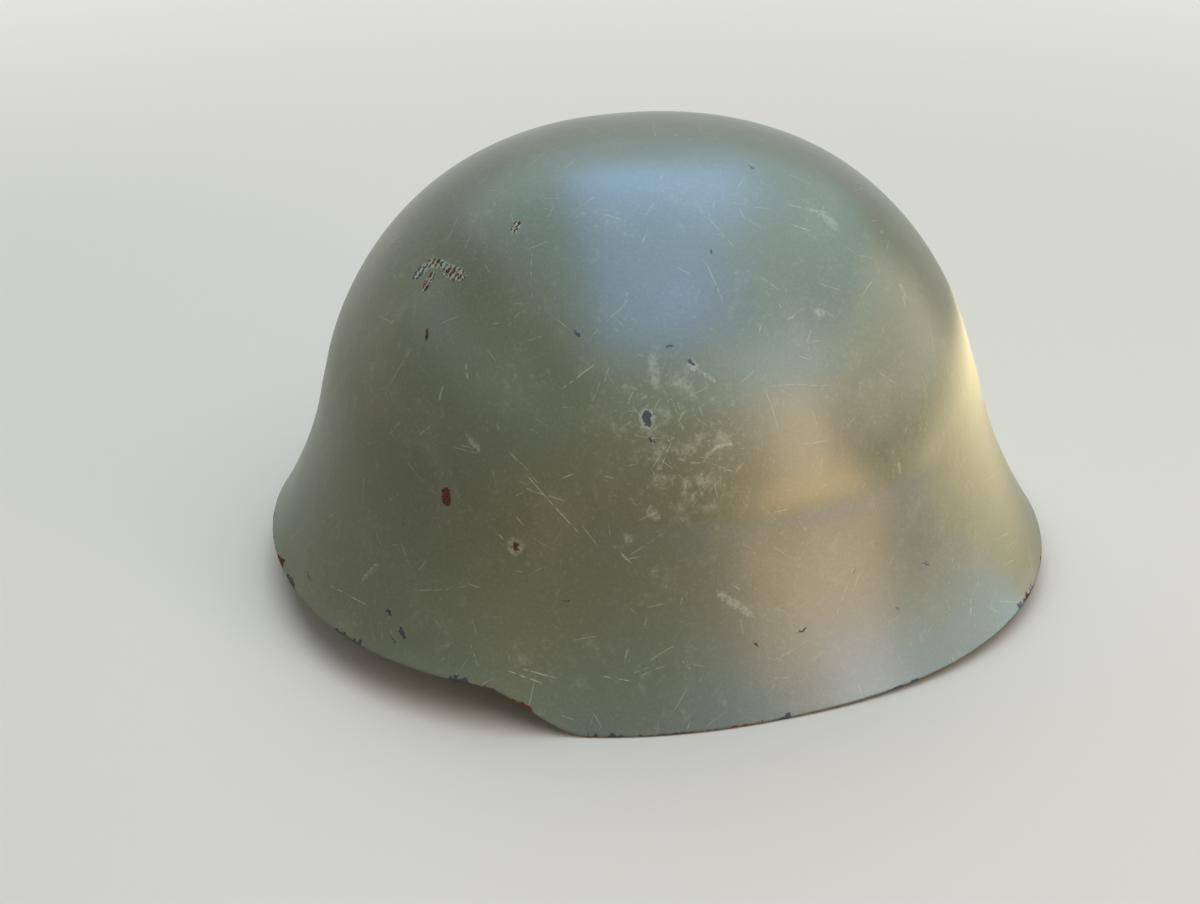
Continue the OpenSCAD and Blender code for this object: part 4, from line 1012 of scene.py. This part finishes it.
steel = pressed_wall(1, 0, 0, SHELL_WALL, wall_columns(288), wall_steps(64, 64), 0.45)
piece("steel_pot", steel, "shell", olive_paint("shell_paint"), "shell_paint", "steel_shell")
resin = pressed_wall(LINER_FLARE, LINER_LIFT, LINER_OUT, LINER_IN, wall_columns(200), wall_steps(40, 30), 0.9)
moulded = piece("moulded_liner", resin, "liner", liner_resin(), "liner_resin", "liner_shell")
cut_round(moulded, liner_point(0, EYELET_Z, LINER_IN), liner_normal(0, EYELET_Z), EYELET_R, 8)

tape, thread = webbing("webbing", WEB_W), cotton_lace()
for spot, turn in WASHERS.items():
    crown_strap(spot, turn, tape, thread)
headband(tape, thread)
nape_strap(webbing("nape_webbing", NAPE_W), thread)
crown_lace(thread)
sweatband(leather("sweatband_leather", SWEAT_H - 0.4, (96, 60, 34), (134, 90, 54)), thread)
sweatband_tab(leather("tab_leather", TAB_W, (88, 54, 30), (122, 78, 46)), thread)
chinstrap(leather("strap_leather", STRAP_W, (84, 50, 28), (118, 74, 42)), thread)
chinstrap_keeper(leather("keeper_leather", KEEPER_W, (80, 48, 27), (112, 70, 40)))

blackened = metal("washer_steel", (58, 58, 56), (86, 58, 38), 0.42, 0.56)
zinc = metal("rivet_steel", (150, 150, 142), (96, 86, 64), 0.36, 0.6)
painted_rivet = metal("painted_rivet", (120, 118, 104), (84, 66, 44), 0.4, 0.6, (82, 82, 55))
loop_wire = metal("loop_wire", (120, 118, 108), (88, 60, 40), 0.4, 0.58, (90, 92, 68))
loop_plate = metal("loop_plate", (104, 102, 92), (92, 58, 36), 0.45, 0.6, (88, 90, 68))
gilding = metal("brass", (168, 138, 78), (86, 66, 38), 0.38, 0.57)
welds(loop_plate)
for finish, bevels in (
        (loop_plate, {"loop_hinge_left": 0.3, "loop_hinge_right": 0.3}),
        (loop_wire, {"wire_loop_left": 0, "wire_loop_right": 0}),
        (painted_rivet, {"suspension_rivets": 0.25, "chinstrap_stud_left": 0.3, "chinstrap_stud_right": 0.3}),
        (blackened, {"a_washers": 0.2, "sweatband_clips": 0.15}),
        (zinc, {"sweatband_buckle": 0.2, "nape_studs": 0.25, "chinstrap_clip_left": 0.3,
                "chinstrap_clip_right": 0.3}),
        (gilding, {"front_eyelet": 0.2, "chinstrap_tip": 0.35, "chinstrap_buckle": 0.25,
                   "buckle_lever": 0.25})):
    for node, bevel in bevels.items():
        dress(node, finish, bevel)


# Camera, light and floor

MIDDLE = (0, 0, 0.07)


def softbox(name, at, aim, wide, tall, glow, form=True, gloss=True):
    """A soft lamp whose face is as bright as its glow, 1 being white; it lights form, gloss or both."""
    lamp = bpy.data.lights.new(name, "AREA")
    lamp.shape, lamp.size, lamp.size_y = "RECTANGLE", wide, tall
    lamp.energy, lamp.color = math.pi * wide * tall * max(glow), [part / max(glow) for part in glow]
    stand = bpy.data.objects.new(name, lamp)
    stand.location = at
    stand.rotation_euler = (Vector(aim) - Vector(at)).to_track_quat("-Z", "Y").to_euler()
    stand.visible_camera, stand.visible_diffuse, stand.visible_glossy = False, form, gloss
    bpy.context.scene.collection.objects.link(stand)


def seen_from(azimuth, elevation, distance):
    """A place at that distance from the helmet's middle."""
    return (distance * sin(azimuth) * cos(elevation), -distance * cos(azimuth) * cos(elevation),
            MIDDLE[2] + distance * sin(elevation))


def level(x, y, z, turn=0):
    """A level lamp's place, and what it aims at: straight up from the floor, straight down from above."""
    return (x, y, z), (x + 0.001 * sin(turn), y + 0.001 * cos(turn), 0 if z > 1 else 1)


softbox("ceiling", *level(-0.15, 0.15, 1.5), 3.0, 1.6, (1.43, 1.5, 1.53), gloss=False)
softbox("warm_wall", seen_from(121, 8, 1.5), MIDDLE, 0.5, 0.72, (8.3, 6.4, 4.5))
softbox("front_fill", seen_from(-75, 8, 1.8), MIDDLE, 0.7, 0.7, (2.5, 2.5, 2.4), gloss=False)
softbox("under_light", (0.1, 0.2, -1.4), (0, 0.0001, MIDDLE[2]), 1.4, 1.4, (5.8, 5.7, 5.6))
# What the paint mirrors: the sky and windows above, the wall at the side, and the ground before it
for name, (at, aim), wide, tall, glow in (
        ("open_sky", level(0.5, 1.2, 1.7), 7, 4.7, (0.75, 1.25, 1.35)),
        ("front_sky", level(0.5, -3.1, 1.65), 7, 1.6, (0.8, 1.1, 1.1)),
        ("window", level(-0.18, 0.175, 1.55, 17), 3.3, 0.95, (1.2, 2.3, 4.7)),
        ("window_sill", level(0.95, 0.3, 1.5), 1.0, 0.6, (0.1, 0.6, 3.4)),
        ("rear_sky", level(0.6, 1.45, 1.6), 3.4, 1.8, (0.7, 1.1, 1.5)),
        ("wall_top", (seen_from(120, 29, 1.5), MIDDLE), 0.8, 0.5, (2.4, 2.9, 3.4)),
        ("side_wall", (seen_from(166, 12, 1.5), MIDDLE), 1.6, 1.0, (2.6, 2.5, 2.0)),
        ("warm_path", level(0.729, 0.438, 0.004, 59), 0.34, 0.5, (9.6, 6.2, 3.5)),
        ("warm_ground", level(0.433, 0.23, 0.002, 62), 0.25, 0.26, (10.2, 6.5, 3.5)),
        ("flank_ground", level(0.247, 0.327, 0.003, 37), 0.22, 0.24, (1.2, 0.9, 0.6)),
        ("near_ground", level(0.278, 0.148, 0.002, 62), 0.18, 0.09, (5.0, 3.4, 1.8)),
        ("wall_foot", level(0.19, 0.101, 0.002, 62), 0.2, 0.11, (3.0, 1.9, 0.9)),
        ("rear_ground", level(-0.02, 0.5, 0.002), 0.36, 0.55, (2.9, 2.4, 1.3))):
    softbox(name, at, aim, wide, tall, glow, form=False)
for turn, share in ((70, 0.3), (94, 0.55), (118, 1.0), (142, 0.8)):
    softbox("skirting_%d" % turn, (0.19 * sin(turn), -0.19 * cos(turn), 0.01), (0, 0, 0.01), 0.078, 0.018,
            (0.3 * share, 2.4 * share, 5.4 * share), form=False)

eye = bpy.data.cameras.new("camera")
eye.lens, eye.sensor_width, eye.sensor_fit = 67.839, 36.0, "HORIZONTAL"
viewer = bpy.data.objects.new("camera", eye)
right, up, back = (0.30942, 0.95080, 0.01537), (-0.45086, 0.13246, 0.88271), (0.83725, -0.28006, 0.46966)
turned_eye = Matrix([right, up, back]).transposed().to_4x4()
viewer.matrix_world = Matrix.Translation((0.68584, -0.25257, 0.42665)) @ turned_eye
bpy.context.scene.collection.objects.link(viewer)
bpy.context.scene.camera = viewer

PALE = tone(238, 237, 233)


def pale_room():
    """Room that lights evenly and shows as one pale tone to the camera and in gloss."""
    world = bpy.data.worlds.new("room")
    bpy.context.scene.world = world
    world.use_nodes = True
    room = Nodes(world.node_tree)
    ray = room.node("ShaderNodeLightPath")
    lit = room.node("ShaderNodeBackground", [tone(222, 222, 216), 0.35])
    backdrop = room.node("ShaderNodeBackground", [PALE, 1.0])
    room.show(room.node("ShaderNodeMixShader", [ray.most(ray.twin("Is Glossy Ray")), lit, backdrop]))


def pale_floor():
    """Plain floor that runs out into the backdrop, and through which the inside shows from below."""
    surface = Finish("floor", Base_Color=tone(226, 225, 221), Roughness=0.9, Specular_IOR_Level=0.0)
    ray = surface.node("ShaderNodeLightPath")
    away = surface.vector("LENGTH", [surface.place()], "Value")
    far = surface.fade(away, 0.35, 1.1) * ray.most(ray.twin("Is Glossy Ray"))
    near = Value(surface, surface.shader.outputs[0])
    backdrop = surface.node("ShaderNodeEmission", [PALE, 1.0])
    below = surface.node("ShaderNodeNewGeometry", output="Backfacing").most(ray.twin("Is Shadow Ray"))
    solid = surface.node("ShaderNodeMixShader", [far, near, backdrop])
    clear = surface.node("ShaderNodeBsdfTransparent")
    surface.show(surface.node("ShaderNodeMixShader", [below, solid, clear]))
    mesh = bpy.data.meshes.new("floor")
    mesh.from_pydata([(-6, -6, 0), (6, -6, 0), (6, 6, 0), (-6, 6, 0)], [], [(0, 1, 2, 3)])
    mesh.materials.append(surface.material)
    floor = bpy.data.objects.new("floor", mesh)
    floor.location.z = -0.0003
    bpy.context.scene.collection.objects.link(floor)


pale_room()
pale_floor()
bpy.context.scene.view_settings.view_transform = "Standard"
